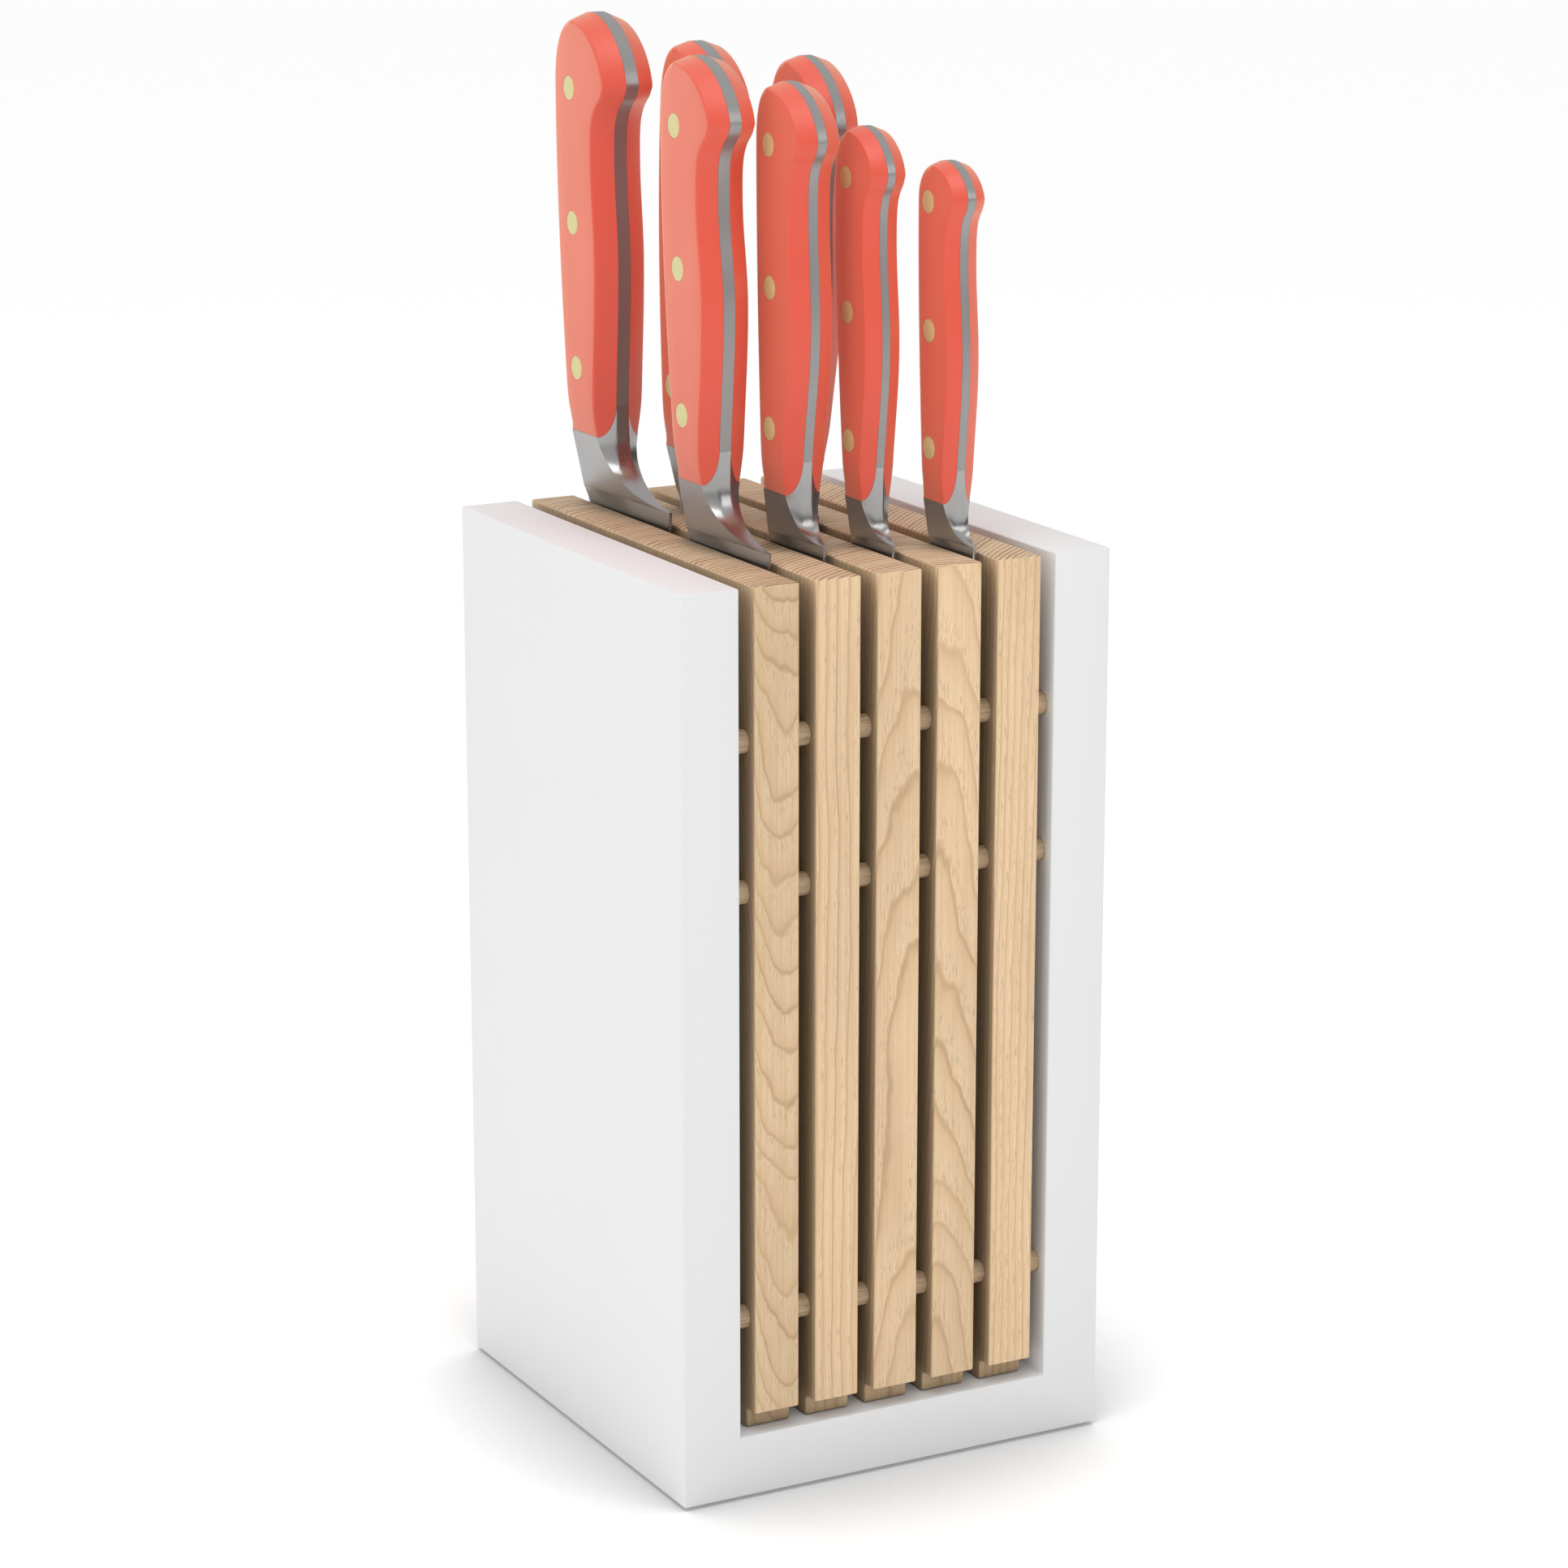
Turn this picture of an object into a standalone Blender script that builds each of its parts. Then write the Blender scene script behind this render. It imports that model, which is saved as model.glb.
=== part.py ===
"""Knife block with seven knives: a lacquered U-shaped housing, five ash slats on
cross rods, and forged kitchen knives standing in the slots between the slats.

Blender 4.5 script. Units are metres, +Z is up, the knives' edges face -Y (the front).
The origin is on the surface that the block stands on, under the middle of the housing.
"""

import math

import bmesh
import bpy
from mathutils import Matrix, Vector

MM = 0.001
GAP = 0.3 * MM                      # clearance between neighbouring pieces

# ---- Housing -------------------------------------------------------------------------
HOUSING_WIDTH = 129 * MM
HOUSING_DEPTH = 134 * MM
HOUSING_HEIGHT = 250 * MM
BOARD = 17 * MM                     # thickness of the side panels and of the base
FOOT_PROUD = 1 * MM                 # how far the feet lift the housing
FOOT_RECESS = 1.5 * MM              # how deep the feet sit in the base
FOOT_LENGTH = 84 * MM               # across the block
FOOT_WIDTH = 12 * MM
FOOT_Y = 54 * MM                    # from the middle to each foot's centre line
BOARD_EDGE = 0.5 * MM               # eased edges of the lacquered boards

# ---- Slats and rods ------------------------------------------------------------------
SLAT_COUNT = 5
SLAT_WIDTH = 13.2 * MM
SLOT_WIDTH = 5 * MM
SLAT_EDGE = 0.6 * MM                # eased edges of the slats
REBATE_DEPTH = 5.3 * MM             # shadow gap along the foot of each slat
REBATE_HEIGHT = 5.6 * MM
ROD_RADIUS = 3.2 * MM
ROD_INSET = 6.5 * MM                # rod axis behind the slats' front, and before their back
ROD_SOCKET = 9 * MM                 # how far a rod reaches into a side panel
ROD_HEIGHTS = {"top": 208 * MM, "middle": 167.3 * MM, "bottom": 49 * MM}
ROUND_SIDES = 12

# ---- Knives --------------------------------------------------------------------------
RIVET_SIDES = 12
RIVET_PLACES = (0.157, 0.503)       # lower two, along the scales; the top one is at the beak
RIVET_SETBACK = 0.39                # of the grip's width, from its back
BORE_PAST = 1.5 * MM                # how far the rivets' bores are cut past the scales
BACK_CHAMFER = 0.8 * MM             # slope of the scales' back, beside the tang
FLAT_EDGE = 0.5 * MM                # eased edge between a scale's flat and its slopes
CROWN_FRONT = 1.8                   # roundness of the butt, front and back: 2 is an ellipse
CROWN_BACK = 2.3
CROWN_INSET = 0.75                  # of the belly's slope, between the tang's top and the flat's
JUNCTION = 9 * MM                   # how far the bolster runs up between the scales
SCALE_TAPER = 0.11                  # part of the handle in which the scales grow thinner
END_THICKNESS = 0.82                # thickness at the bolster, as part of the full one
COVE_DEPTH = 1.2 * MM               # hollow of the bolster's polished front
HEEL_HALF = 0.45 * MM               # half thickness at the top of the heel
EDGE_HALF = 0.12 * MM               # half thickness of the ground edge
SHOULDER_HALF = SLOT_WIDTH / 2 - GAP  # bolster's half thickness where it meets the slats
BLADE_SHOULDER = 8 * MM             # below the slats' top, where the bolster has become blade
SPINE_TAPER = 0.5                   # how much thinner the spine is at the tip
WEDGE_POWER = 0.8                   # swell of the blade's faces, between its edge and its spine
EDGE_ROUND = 0.01                   # part of the blade's width that the edge's rounding takes
WEDGE_END = 0.94                    # part of the blade's width where the spine's easing starts
SPINE_FLAT = 0.6                    # width of the flat along the spine, as part of the thickness
COVE_SIDE = 0.7                     # depth of the cove half way to its side, as part of the full
GRIP_PLACE = 0.42                   # where the grip is slimmest, as part of the scales' length
WAIST_DROP = 0.16                   # how far below the beak the hook starts, likewise
HOOK_POWER = 4                      # how sharply the belly runs out to the beak

# ---- Where the rings of a knife lie: closer together where its outline turns ----------
SIDE_RINGS = (0.35, 0.7, 1)         # points across the faces of the blade and the bolster
TANG_RINGS = (0.3, 0.6, 0.9)        # points across the side of the tang
BLADE_RINGS = (0.998, 0.98, 0.94, 0.88, 0.78, 0.62, 0.42, 0.22)   # tip to top
SHOULDER_RINGS = (1, 0.5, 0)
BOLSTER_RINGS = (1, 0.85, 0.7, 0.55, 0.4, 0.25, 0.1)              # heel to scales
JUNCTION_RINGS = (0.04, 0.2, 0.5, 1)
GRIP_RINGS = (0.2, 0.4, 0.6)
HOOK_START = 0.13                   # below the beak, as part of the scales' length
HOOK_RINGS = (0, 0.5, 0.8, 1)
CROWN_ANGLES = (14, 32, 50, 68, 84)  # degrees round the butt

# Each knife is drawn with its heel at y = 0 and the slats' top at z = 0, in millimetres.
#   slot, reach  : its slot, and the heel's distance behind the housing's front
#   lean         : how far the handle leans towards the front, in degrees
#   end, butt    : heights of the bolster end and the butt end of the scales
#   half, tang   : half thickness of the handle and of the tang
#   slope        : drop of the belly face from the tang to the scale's flat
#   belly        : front of the tang at the bolster, at mid grip, and above the grip
#   beak         : the hook's lowest point
#   crown        : y of the butt's highest point
#   back         : back of the tang at the bolster, and at its widest
#   heel         : height of the heel's top corner
#   blade        : length below the slats' top, width at the top, half thickness at the spine
#   spine        : forward slope of the spine along the blade, and the extra drop at the tip
#   tip          : exponents of the taper in width; large ones give a blunt tip
KNIVES = {
    "chefs_knife": dict(
        slot=1, reach=78.3, lean=0, end=20.4, butt=136.2, half=7.7, tang=1.85, slope=3.2,
        belly=(29.2, 27.0, 28.9), beak=(20.8, 115.5), crown=42.4, back=(49.0, 55.6),
        heel=4.3, blade=(200, 48.4, 1.35), spine=(14.4, 3), tip=(2.2, 1.5), rivet=3.3),
    "small_chefs_knife": dict(
        slot=1, reach=21.0, lean=0, end=17.3, butt=129.6, half=7.0, tang=1.7, slope=2.4,
        belly=(25.3, 22.4, 25.4), beak=(18.1, 111.3), crown=39.3, back=(42.3, 50.2),
        heel=3.3, blade=(160, 43.4, 1.2), spine=(0, 5), tip=(2.3, 1.6), rivet=3.3),
    "bread_knife": dict(
        slot=2, reach=75.0, lean=4.6, end=15.4, butt=127.4, half=7.0, tang=1.7, slope=2.4,
        belly=(16.7, 13.8, 16.8), beak=(9.5, 109.0), crown=31.6, back=(32.8, 41.2),
        heel=3.0, blade=(200, 31.0, 1.1), spine=(2, 9), tip=(7.0, 2.2), rivet=3.3),
    "carving_knife": dict(
        slot=2, reach=24.3, lean=0, end=15.0, butt=123.5, half=6.4, tang=1.35, slope=2.4,
        belly=(9.9, 5.3, 6.8), beak=(1.2, 107.0), crown=19.9, back=(25.4, 28.3),
        heel=2.9, blade=(180, 27.9, 1.05), spine=(0, 3), tip=(3.2, 1.5), rivet=3.2),
    "boning_knife": dict(
        slot=3, reach=62.0, lean=7, end=16.5, butt=125.6, half=6.4, tang=1.45, slope=2.3,
        belly=(5.1, 2.2, 5.0), beak=(-0.2, 108.0), crown=20.6, back=(21.4, 30.8),
        heel=3.0, blade=(150, 21.0, 1.0), spine=(0, 2), tip=(2.0, 1.4), rivet=3.2),
    "utility_knife": dict(
        slot=3, reach=19.5, lean=0, end=13.0, butt=111.8, half=5.3, tang=1.15, slope=2.0,
        belly=(8.0, 4.6, 6.4), beak=(1.7, 98.2), crown=15.7, back=(19.8, 25.0),
        heel=2.4, blade=(120, 19.8, 0.9), spine=(0, 2), tip=(2.6, 1.5), rivet=3.1),
    "paring_knife": dict(
        slot=4, reach=8.3, lean=0, end=12.4, butt=103.0, half=5.0, tang=1.2, slope=1.8,
        belly=(7.8, 5.2, 6.9), beak=(2.6, 91.9), crown=14.5, back=(21.0, 24.3),
        heel=2.1, blade=(90, 20.9, 0.85), spine=(0, 2), tip=(2.2, 1.5), rivet=3.1),
}

# ---- Colours: base colour, metallic, roughness ---------------------------------------
LACQUER = ("white_lacquer", (0.90, 0.90, 0.90), 0.0, 0.35)
ASH = ("ash_wood", (0.68, 0.52, 0.36), 0.0, 0.6)
DOWEL_WOOD = ("beech_dowel", (0.62, 0.45, 0.28), 0.0, 0.6)
RUBBER = ("foot_rubber", (0.05, 0.05, 0.05), 0.0, 0.8)
STEEL = ("forged_steel", (0.66, 0.66, 0.66), 1.0, 0.25)
CORAL = ("coral_scale", (0.85, 0.25, 0.17), 0.0, 0.4)
BRASS = ("rivet_brass", (0.70, 0.58, 0.32), 1.0, 0.35)

TOP = FOOT_PROUD + HOUSING_HEIGHT
FRONT = -HOUSING_DEPTH / 2
BASE_TOP = FOOT_PROUD + BOARD
SLAT_PITCH = SLAT_WIDTH + SLOT_WIDTH
INNER_X = HOUSING_WIDTH / 2 - BOARD


# ---- Scene and mesh helpers ----------------------------------------------------------
def clear_scene():
    for thing in list(bpy.data.objects):
        bpy.data.objects.remove(thing, do_unlink=True)


def new_collection(name):
    collection = bpy.data.collections.new(name)
    bpy.context.scene.collection.children.link(collection)
    return collection


def make_material(piece_name, finish):
    """A material of the piece's own, from a shared finish."""
    kind, colour, metallic, roughness = finish
    material = bpy.data.materials.new(piece_name + "_" + kind)
    material.use_nodes = True
    shader = material.node_tree.nodes["Principled BSDF"]
    shader.inputs["Base Color"].default_value = (*colour, 1)
    shader.inputs["Metallic"].default_value = metallic
    shader.inputs["Roughness"].default_value = roughness
    return material


def add_object(name, mesh_builder, finish, smooth=False):
    """Turn a bmesh into a named object in the parts collection."""
    bmesh.ops.recalc_face_normals(mesh_builder, faces=mesh_builder.faces)
    mesh = bpy.data.meshes.new(name)
    mesh_builder.to_mesh(mesh)
    mesh_builder.free()
    piece = bpy.data.objects.new(name, mesh)
    if finish is None:
        cutters.objects.link(piece)
        piece.hide_render = True
        piece.display_type = "WIRE"
        return piece
    parts.objects.link(piece)
    mesh.materials.append(make_material(name, finish))
    if smooth:
        mesh.shade_smooth()
        mesh.set_sharp_from_angle(angle=math.radians(35))
    return piece


def add_box(builder, low, high):
    size = Vector(high) - Vector(low)
    middle = (Vector(high) + Vector(low)) / 2
    place = Matrix.Translation(middle) @ Matrix.Diagonal((*size, 1))
    bmesh.ops.create_cube(builder, size=1, matrix=place)


def add_rod(builder, radius, start, end, sides=ROUND_SIDES):
    """A round bar between two points."""
    start = Vector(start)
    axis = Vector(end) - start
    turn = axis.to_track_quat("Z", "Y").to_matrix().to_4x4()
    place = Matrix.Translation(start + axis / 2) @ turn
    bmesh.ops.create_cone(builder, cap_ends=True, segments=sides, radius1=radius,
                          radius2=radius, depth=axis.length, matrix=place)


def box_piece(name, low, high, finish, edge=0):
    builder = bmesh.new()
    add_box(builder, low, high)
    piece = add_object(name, builder, finish)
    if edge:
        bevel = piece.modifiers.new("eased_edges", "BEVEL")
        bevel.width = edge
        bevel.segments = 1
    return piece


def rod_pieces(name, radius, spans, finish, sides=ROUND_SIDES):
    """One object that holds a round bar for each (start, end) span."""
    builder = bmesh.new()
    for start, end in spans:
        add_rod(builder, radius, start, end, sides)
    return add_object(name, builder, finish, smooth=finish is not None)


def cut(piece, cutter):
    boolean = piece.modifiers.new("cut_" + cutter.name, "BOOLEAN")
    boolean.operation = "DIFFERENCE"
    boolean.object = cutter


def loft(name, rings, finish):
    """A closed skin through rings of equal length, with a flat cap at each end."""
    builder = bmesh.new()
    loops = [[builder.verts.new(point) for point in ring] for ring in rings]
    for lower, upper in zip(loops, loops[1:]):
        for i in range(len(lower)):
            j = (i + 1) % len(lower)
            builder.faces.new((lower[i], lower[j], upper[j], upper[i]))
    builder.faces.new(loops[0])
    builder.faces.new(loops[-1])
    return add_object(name, builder, finish, smooth=True)


# ---- Housing -------------------------------------------------------------------------
def make_housing():
    outer = HOUSING_WIDTH / 2
    panels = []
    for name, side in (("left_panel", -1), ("right_panel", 1)):
        near, far = sorted((side * INNER_X, side * outer))
        panels.append(box_piece(name, (near, FRONT, FOOT_PROUD), (far, -FRONT, TOP),
                                LACQUER, BOARD_EDGE))
    base_x = INNER_X - GAP
    base = box_piece("base_panel", (-base_x, FRONT, FOOT_PROUD), (base_x, -FRONT, BASE_TOP),
                     LACQUER, BOARD_EDGE)
    return panels, base


def make_feet(base):
    """Two soft strips let into the underside of the base, near its front and back."""
    foot_top = FOOT_PROUD + FOOT_RECESS - GAP
    groove_x = FOOT_LENGTH / 2 + GAP
    grooves = bmesh.new()
    for name, middle in (("front_foot", -FOOT_Y), ("back_foot", FOOT_Y)):
        near = middle - FOOT_WIDTH / 2
        far = middle + FOOT_WIDTH / 2
        box_piece(name, (-FOOT_LENGTH / 2, near, 0), (FOOT_LENGTH / 2, far, foot_top), RUBBER)
        add_box(grooves, (-groove_x, near - GAP, 0), (groove_x, far + GAP, foot_top + GAP))
    cut(base, add_object("foot_grooves", grooves, None))


# ---- Slats and rods ------------------------------------------------------------------
def slat_centre(index):
    return (index - (SLAT_COUNT + 1) / 2) * SLAT_PITCH


def slot_centre(index):
    return slat_centre(index) + SLAT_PITCH / 2


def make_slats():
    """Upright slats with a small rebate along the foot of the front and back faces."""
    builder = bmesh.new()
    rebate_top = BASE_TOP + REBATE_HEIGHT
    for side in (-1, 1):
        near, far = sorted((side * (-FRONT - REBATE_DEPTH), side * HOUSING_DEPTH))
        add_box(builder, (-INNER_X, near, FOOT_PROUD), (INNER_X, far, rebate_top))
    rebates = add_object("foot_rebates", builder, None)
    slats = []
    for index in range(1, SLAT_COUNT + 1):
        x = slat_centre(index)
        slat = box_piece("slat_%d" % index,
                         (x - SLAT_WIDTH / 2, FRONT, BASE_TOP + GAP),
                         (x + SLAT_WIDTH / 2, -FRONT, TOP), ASH, SLAT_EDGE)
        cut(slat, rebates)
        slats.append(slat)
    return slats


def make_rods(panels, slats):
    """Cross rods that string the slats together and end in the side panels."""
    reach = INNER_X + ROD_SOCKET
    holes = []
    for side_name, y in (("front", FRONT + ROD_INSET), ("back", -FRONT - ROD_INSET)):
        for row, height in ROD_HEIGHTS.items():
            z = FOOT_PROUD + height
            rod_pieces("%s_%s_rod" % (side_name, row), ROD_RADIUS,
                       [((-reach, y, z), (reach, y, z))], DOWEL_WOOD)
            holes.append(((-reach - GAP, y, z), (reach + GAP, y, z)))
    cutter = rod_pieces("rod_holes", ROD_RADIUS + GAP, holes, None)
    for piece in (*panels, *slats):
        cut(piece, cutter)


# ---- Knife outline -------------------------------------------------------------------
def ease(start, end, part):
    """Blend with level ends, for a curve between two extremes."""
    return start + (end - start) * (1 - math.cos(math.pi * part)) / 2


class Knife:
    """Curves of one knife in its own frame, in metres."""

    def __init__(self, spec):
        self.end = spec["end"] * MM
        self.butt = spec["butt"] * MM
        self.length = self.butt - self.end
        self.half = spec["half"] * MM
        self.tang = spec["tang"] * MM
        self.slope = spec["slope"] * MM
        self.belly = [value * MM for value in spec["belly"]]
        self.beak_y, self.beak_z = (value * MM for value in spec["beak"])
        self.waist = self.beak_z - WAIST_DROP * self.length
        self.crown = spec["crown"] * MM
        self.back = [value * MM for value in spec["back"]]
        self.heel = spec["heel"] * MM
        self.blade_length, self.width, self.spine_half = (v * MM for v in spec["blade"])
        self.spine_slope, self.tip_drop = (value * MM for value in spec["spine"])
        self.tip = spec["tip"]
        self.rivet = spec["rivet"] * MM

    def front_y(self, z):
        """Front of the tang, from the bolster's end to the butt."""
        grip = self.end + GRIP_PLACE * self.length
        at_end, at_grip, at_waist = self.belly
        if z < grip:
            return ease(at_end, at_grip, (z - self.end) / (grip - self.end))
        if z < self.waist:
            return ease(at_grip, at_waist, (z - grip) / (self.waist - grip))
        if z < self.beak_z:
            part = (z - self.waist) / (self.beak_z - self.waist)
            return at_waist - (at_waist - self.beak_y) * part ** HOOK_POWER
        part = min((z - self.beak_z) / (self.butt - self.beak_z), 1)
        fall = (1 - part ** CROWN_FRONT) ** (1 / CROWN_FRONT)
        return self.crown - (self.crown - self.beak_y) * fall

    def back_y(self, z):
        """Back of the tang, from the bolster's end to the butt."""
        at_end, widest = self.back
        if z < self.beak_z:
            part = max(z - self.end, 0) / (self.beak_z - self.end)
            return at_end + (widest - at_end) * math.sin(math.pi / 2 * part)
        part = min((z - self.beak_z) / (self.butt - self.beak_z), 1)
        fall = (1 - part ** CROWN_BACK) ** (1 / CROWN_BACK)
        return self.crown + (widest - self.crown) * fall

    def flat_z(self, z):
        """Height on the scale's flat that belongs to height z on the tang's outline."""
        if z <= self.beak_z:
            return z
        inset = CROWN_INSET * self.slope / (self.butt - self.beak_z)
        return z - (z - self.beak_z) * inset

    def thickness(self, z):
        """Half thickness of the scales, which grow thinner towards the bolster."""
        taper = SCALE_TAPER * self.length
        part = min((z - self.end) / taper, 1)
        thin = END_THICKNESS * self.half
        return thin + (self.half - thin) * math.sin(math.pi / 2 * part)

    def junction_x(self, z):
        """Half thickness of the steel between the scales, round where they begin."""
        part = (self.end + JUNCTION - z) / JUNCTION
        if part <= 0:
            return self.tang
        spread = 1 - math.sqrt(1 - min(part, 1) ** 2)
        return self.tang + (self.thickness(z) - self.tang) * spread

    def slope_y(self, x, z):
        """Front of the handle beside the tang, where its face slopes to the flat."""
        part = (x - self.tang) / (self.thickness(z) - self.tang)
        return self.front_y(z) + self.slope * part

    def spine_y(self, s):
        """Spine of the blade, s running from 0 at the slats' top to 1 at the tip."""
        return self.width - self.spine_slope * s - self.tip_drop * s ** 3

    def edge_y(self, s):
        n, m = self.tip
        return self.spine_y(s) - self.width * (1 - s ** n) ** (1 / m)


# ---- Knife pieces --------------------------------------------------------------------
def mirror_ring(half_ring, z):
    """A closed ring from the points of its left half, the first one on the middle plane."""
    left = [(-x, y, z) for x, y in half_ring]
    right = [(x, y, z) for x, y in reversed(half_ring[1:])]
    return left + right


def tang_ring(knife, z):
    half = knife.junction_x(z)
    edge = knife.slope_y(half, z)
    middle = knife.front_y(z)
    back = knife.back_y(z)
    slant = BACK_CHAMFER * (half - knife.tang) / (knife.thickness(z) - knife.tang)
    span = back - slant - edge
    points = [(0, middle), (half / 2, (middle + edge) / 2), (half, edge)]
    points += [(half, edge + span * part) for part in TANG_RINGS]
    return mirror_ring(points + [(knife.tang, back)], z)


def wedge_side(front, side, edge, span):
    """Points from an edge of half width front to a back of half width side."""
    return [(front + (side - front) * part ** WEDGE_POWER, edge + span * part)
            for part in SIDE_RINGS]


def bolster_ring(knife, turn):
    """The bolster's front is a quarter ellipse from the scales (0) down to the heel (1)."""
    angle = math.pi / 2 * turn
    corner = knife.front_y(knife.end) + knife.slope
    edge = corner * math.cos(angle)
    z = knife.end - (knife.end - knife.heel) * math.sin(angle)
    rise = z / knife.end
    side = SHOULDER_HALF + (knife.thickness(knife.end) - SHOULDER_HALF) * rise
    front = HEEL_HALF + (knife.thickness(knife.end) - HEEL_HALF) * (1 - turn)
    hollow = COVE_DEPTH * math.sin(math.pi * turn)
    back = knife.width + (knife.back_y(knife.end) - knife.width) * rise
    span = back - BACK_CHAMFER - edge
    points = [(0, edge + hollow), (front / 2, edge + hollow * COVE_SIDE), (front, edge)]
    points += wedge_side(front, side, edge, span)
    return mirror_ring(points + [(side * SPINE_FLAT, back)], z)


def blade_ring(knife, z):
    """Wedge section of the blade; just under the slats' top it still swells to the bolster."""
    s = max(-z, 0) / knife.blade_length
    swell = max(1 + z / BLADE_SHOULDER, 0)
    side = knife.spine_half * (1 - SPINE_TAPER * s)
    side += (SHOULDER_HALF - knife.spine_half) * swell
    front = EDGE_HALF + (HEEL_HALF - EDGE_HALF) * swell
    edge = knife.edge_y(s)
    spine = knife.spine_y(s)
    span = (spine - edge) * WEDGE_END
    point_y = edge + span * EDGE_ROUND
    points = [(0, edge), (front / 2, (edge + point_y) / 2), (front, point_y)]
    points += wedge_side(front, side, edge, span)
    return mirror_ring(points + [(side * SPINE_FLAT, spine)], z)


def handle_levels(knife):
    """Heights of the rings along the scales, above the bolster's root."""
    grip = [knife.end + knife.length * part for part in GRIP_RINGS]
    hook_height = HOOK_START * knife.length
    hook = [knife.beak_z - hook_height * (1 - part) for part in HOOK_RINGS]
    rise = knife.butt - knife.beak_z
    crown = [knife.beak_z + rise * math.sin(math.radians(angle)) for angle in CROWN_ANGLES]
    return grip + hook + crown


def junction_levels(knife):
    return [knife.end + JUNCTION * part for part in JUNCTION_RINGS]


def make_forging(name, knife):
    """Blade, bolster and full tang, forged as one piece."""
    blade = [blade_ring(knife, -knife.blade_length * part) for part in BLADE_RINGS]
    blade += [blade_ring(knife, -BLADE_SHOULDER * part) for part in SHOULDER_RINGS]
    bolster = [bolster_ring(knife, turn) for turn in BOLSTER_RINGS]
    tang = [tang_ring(knife, z) for z in junction_levels(knife) + handle_levels(knife)]
    return loft(name + "_blade_and_tang", blade + bolster + tang, STEEL)


def scale_ring(knife, side, z):
    inner = knife.junction_x(z) + GAP
    outer = knife.thickness(z)
    inner = min(inner, outer - GAP)
    flat_z = knife.flat_z(z)
    front = knife.front_y(z) + knife.slope
    back = knife.back_y(z) - BACK_CHAMFER
    inner_front = knife.slope_y(inner, z)
    inner_back = knife.back_y(z) - BACK_CHAMFER * (inner - knife.tang) / (outer - knife.tang)
    ease_y = min(FLAT_EDGE, (back - front) / 4)
    corner_x = outer - min(FLAT_EDGE, (outer - inner) / 3)
    front_slant = front - knife.slope * (outer - corner_x) / (outer - knife.tang)
    outline = [(inner, inner_front, z), (corner_x, front_slant, flat_z),
               (outer, front + ease_y, flat_z), (outer, back - ease_y, flat_z),
               (corner_x, back + BACK_CHAMFER * 0.1, flat_z), (inner, inner_back, z)]
    return [(side * x, y, height) for x, y, height in outline]


def make_scales(name, knife):
    """Two plastic grips, one on each face of the tang."""
    levels = junction_levels(knife) + handle_levels(knife)
    scales = []
    for side_name, side in (("left", -1), ("right", 1)):
        rings = [scale_ring(knife, side, z) for z in levels]
        scales.append(loft("%s_%s_scale" % (name, side_name), rings, CORAL))
    return scales


def make_rivets(name, knife, pierced):
    """Three flush pins through both scales and the tang."""
    pins = []
    bores = []
    heights = [knife.end + knife.length * place for place in RIVET_PLACES]
    for number, z in enumerate((*heights, knife.beak_z), 1):
        grip_width = knife.back_y(z) - knife.front_y(min(z, knife.waist))
        y = knife.back_y(z) - RIVET_SETBACK * grip_width
        half = knife.thickness(z)
        past = half + BORE_PAST
        pins.append(rod_pieces("%s_rivet_%d" % (name, number), knife.rivet,
                               [((-half, y, z), (half, y, z))], BRASS, RIVET_SIDES))
        bores.append(((-past, y, z), (past, y, z)))
    cutter = rod_pieces(name + "_rivet_bores", knife.rivet + GAP, bores, None, RIVET_SIDES)
    for piece in pierced:
        cut(piece, cutter)
    return [*pins, cutter]


def make_knife(name, spec):
    """A knife under an empty that sits at its heel, where its slide axis passes."""
    knife = Knife(spec)
    forging = make_forging(name, knife)
    scales = make_scales(name, knife)
    rivets = make_rivets(name, knife, [forging, *scales])
    seat = bpy.data.objects.new(name, None)
    parts.objects.link(seat)
    seat.location = (slot_centre(spec["slot"]), FRONT + spec["reach"] * MM, TOP)
    seat.rotation_euler.x = math.radians(spec["lean"])
    for piece in (forging, *scales, *rivets):
        piece.parent = seat


clear_scene()
parts = new_collection("knife_block_with_knives")
cutters = new_collection("cutters")
side_panels, base_board = make_housing()
make_feet(base_board)
make_rods(side_panels, make_slats())
for knife_name, knife_spec in KNIVES.items():
    make_knife(knife_name, knife_spec)
bpy.context.view_layer.update()
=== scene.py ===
"""Looks of the knife block: a seamless lacquered housing, ash slats with growth rings,
dowels, and seven forged knives with satin coral grips.

Blender 4.5 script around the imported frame. Metres, +Z up, the front faces -Y.
"""

import math

import bmesh
import bpy
from mathutils import Matrix, Vector


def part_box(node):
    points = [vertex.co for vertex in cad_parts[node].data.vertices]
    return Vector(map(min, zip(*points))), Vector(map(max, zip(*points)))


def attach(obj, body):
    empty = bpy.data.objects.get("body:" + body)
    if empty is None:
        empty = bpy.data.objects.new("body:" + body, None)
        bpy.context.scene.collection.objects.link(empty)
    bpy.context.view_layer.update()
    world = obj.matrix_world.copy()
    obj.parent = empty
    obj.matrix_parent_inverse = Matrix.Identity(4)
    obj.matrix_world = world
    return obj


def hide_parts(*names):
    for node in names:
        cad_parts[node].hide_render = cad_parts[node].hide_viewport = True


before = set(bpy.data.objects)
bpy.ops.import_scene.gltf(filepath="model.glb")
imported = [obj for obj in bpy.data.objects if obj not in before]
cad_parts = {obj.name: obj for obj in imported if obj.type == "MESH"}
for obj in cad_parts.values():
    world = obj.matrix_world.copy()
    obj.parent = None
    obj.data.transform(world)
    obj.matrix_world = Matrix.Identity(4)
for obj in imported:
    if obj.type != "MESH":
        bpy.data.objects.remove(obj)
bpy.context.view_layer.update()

MM = 0.001

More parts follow.
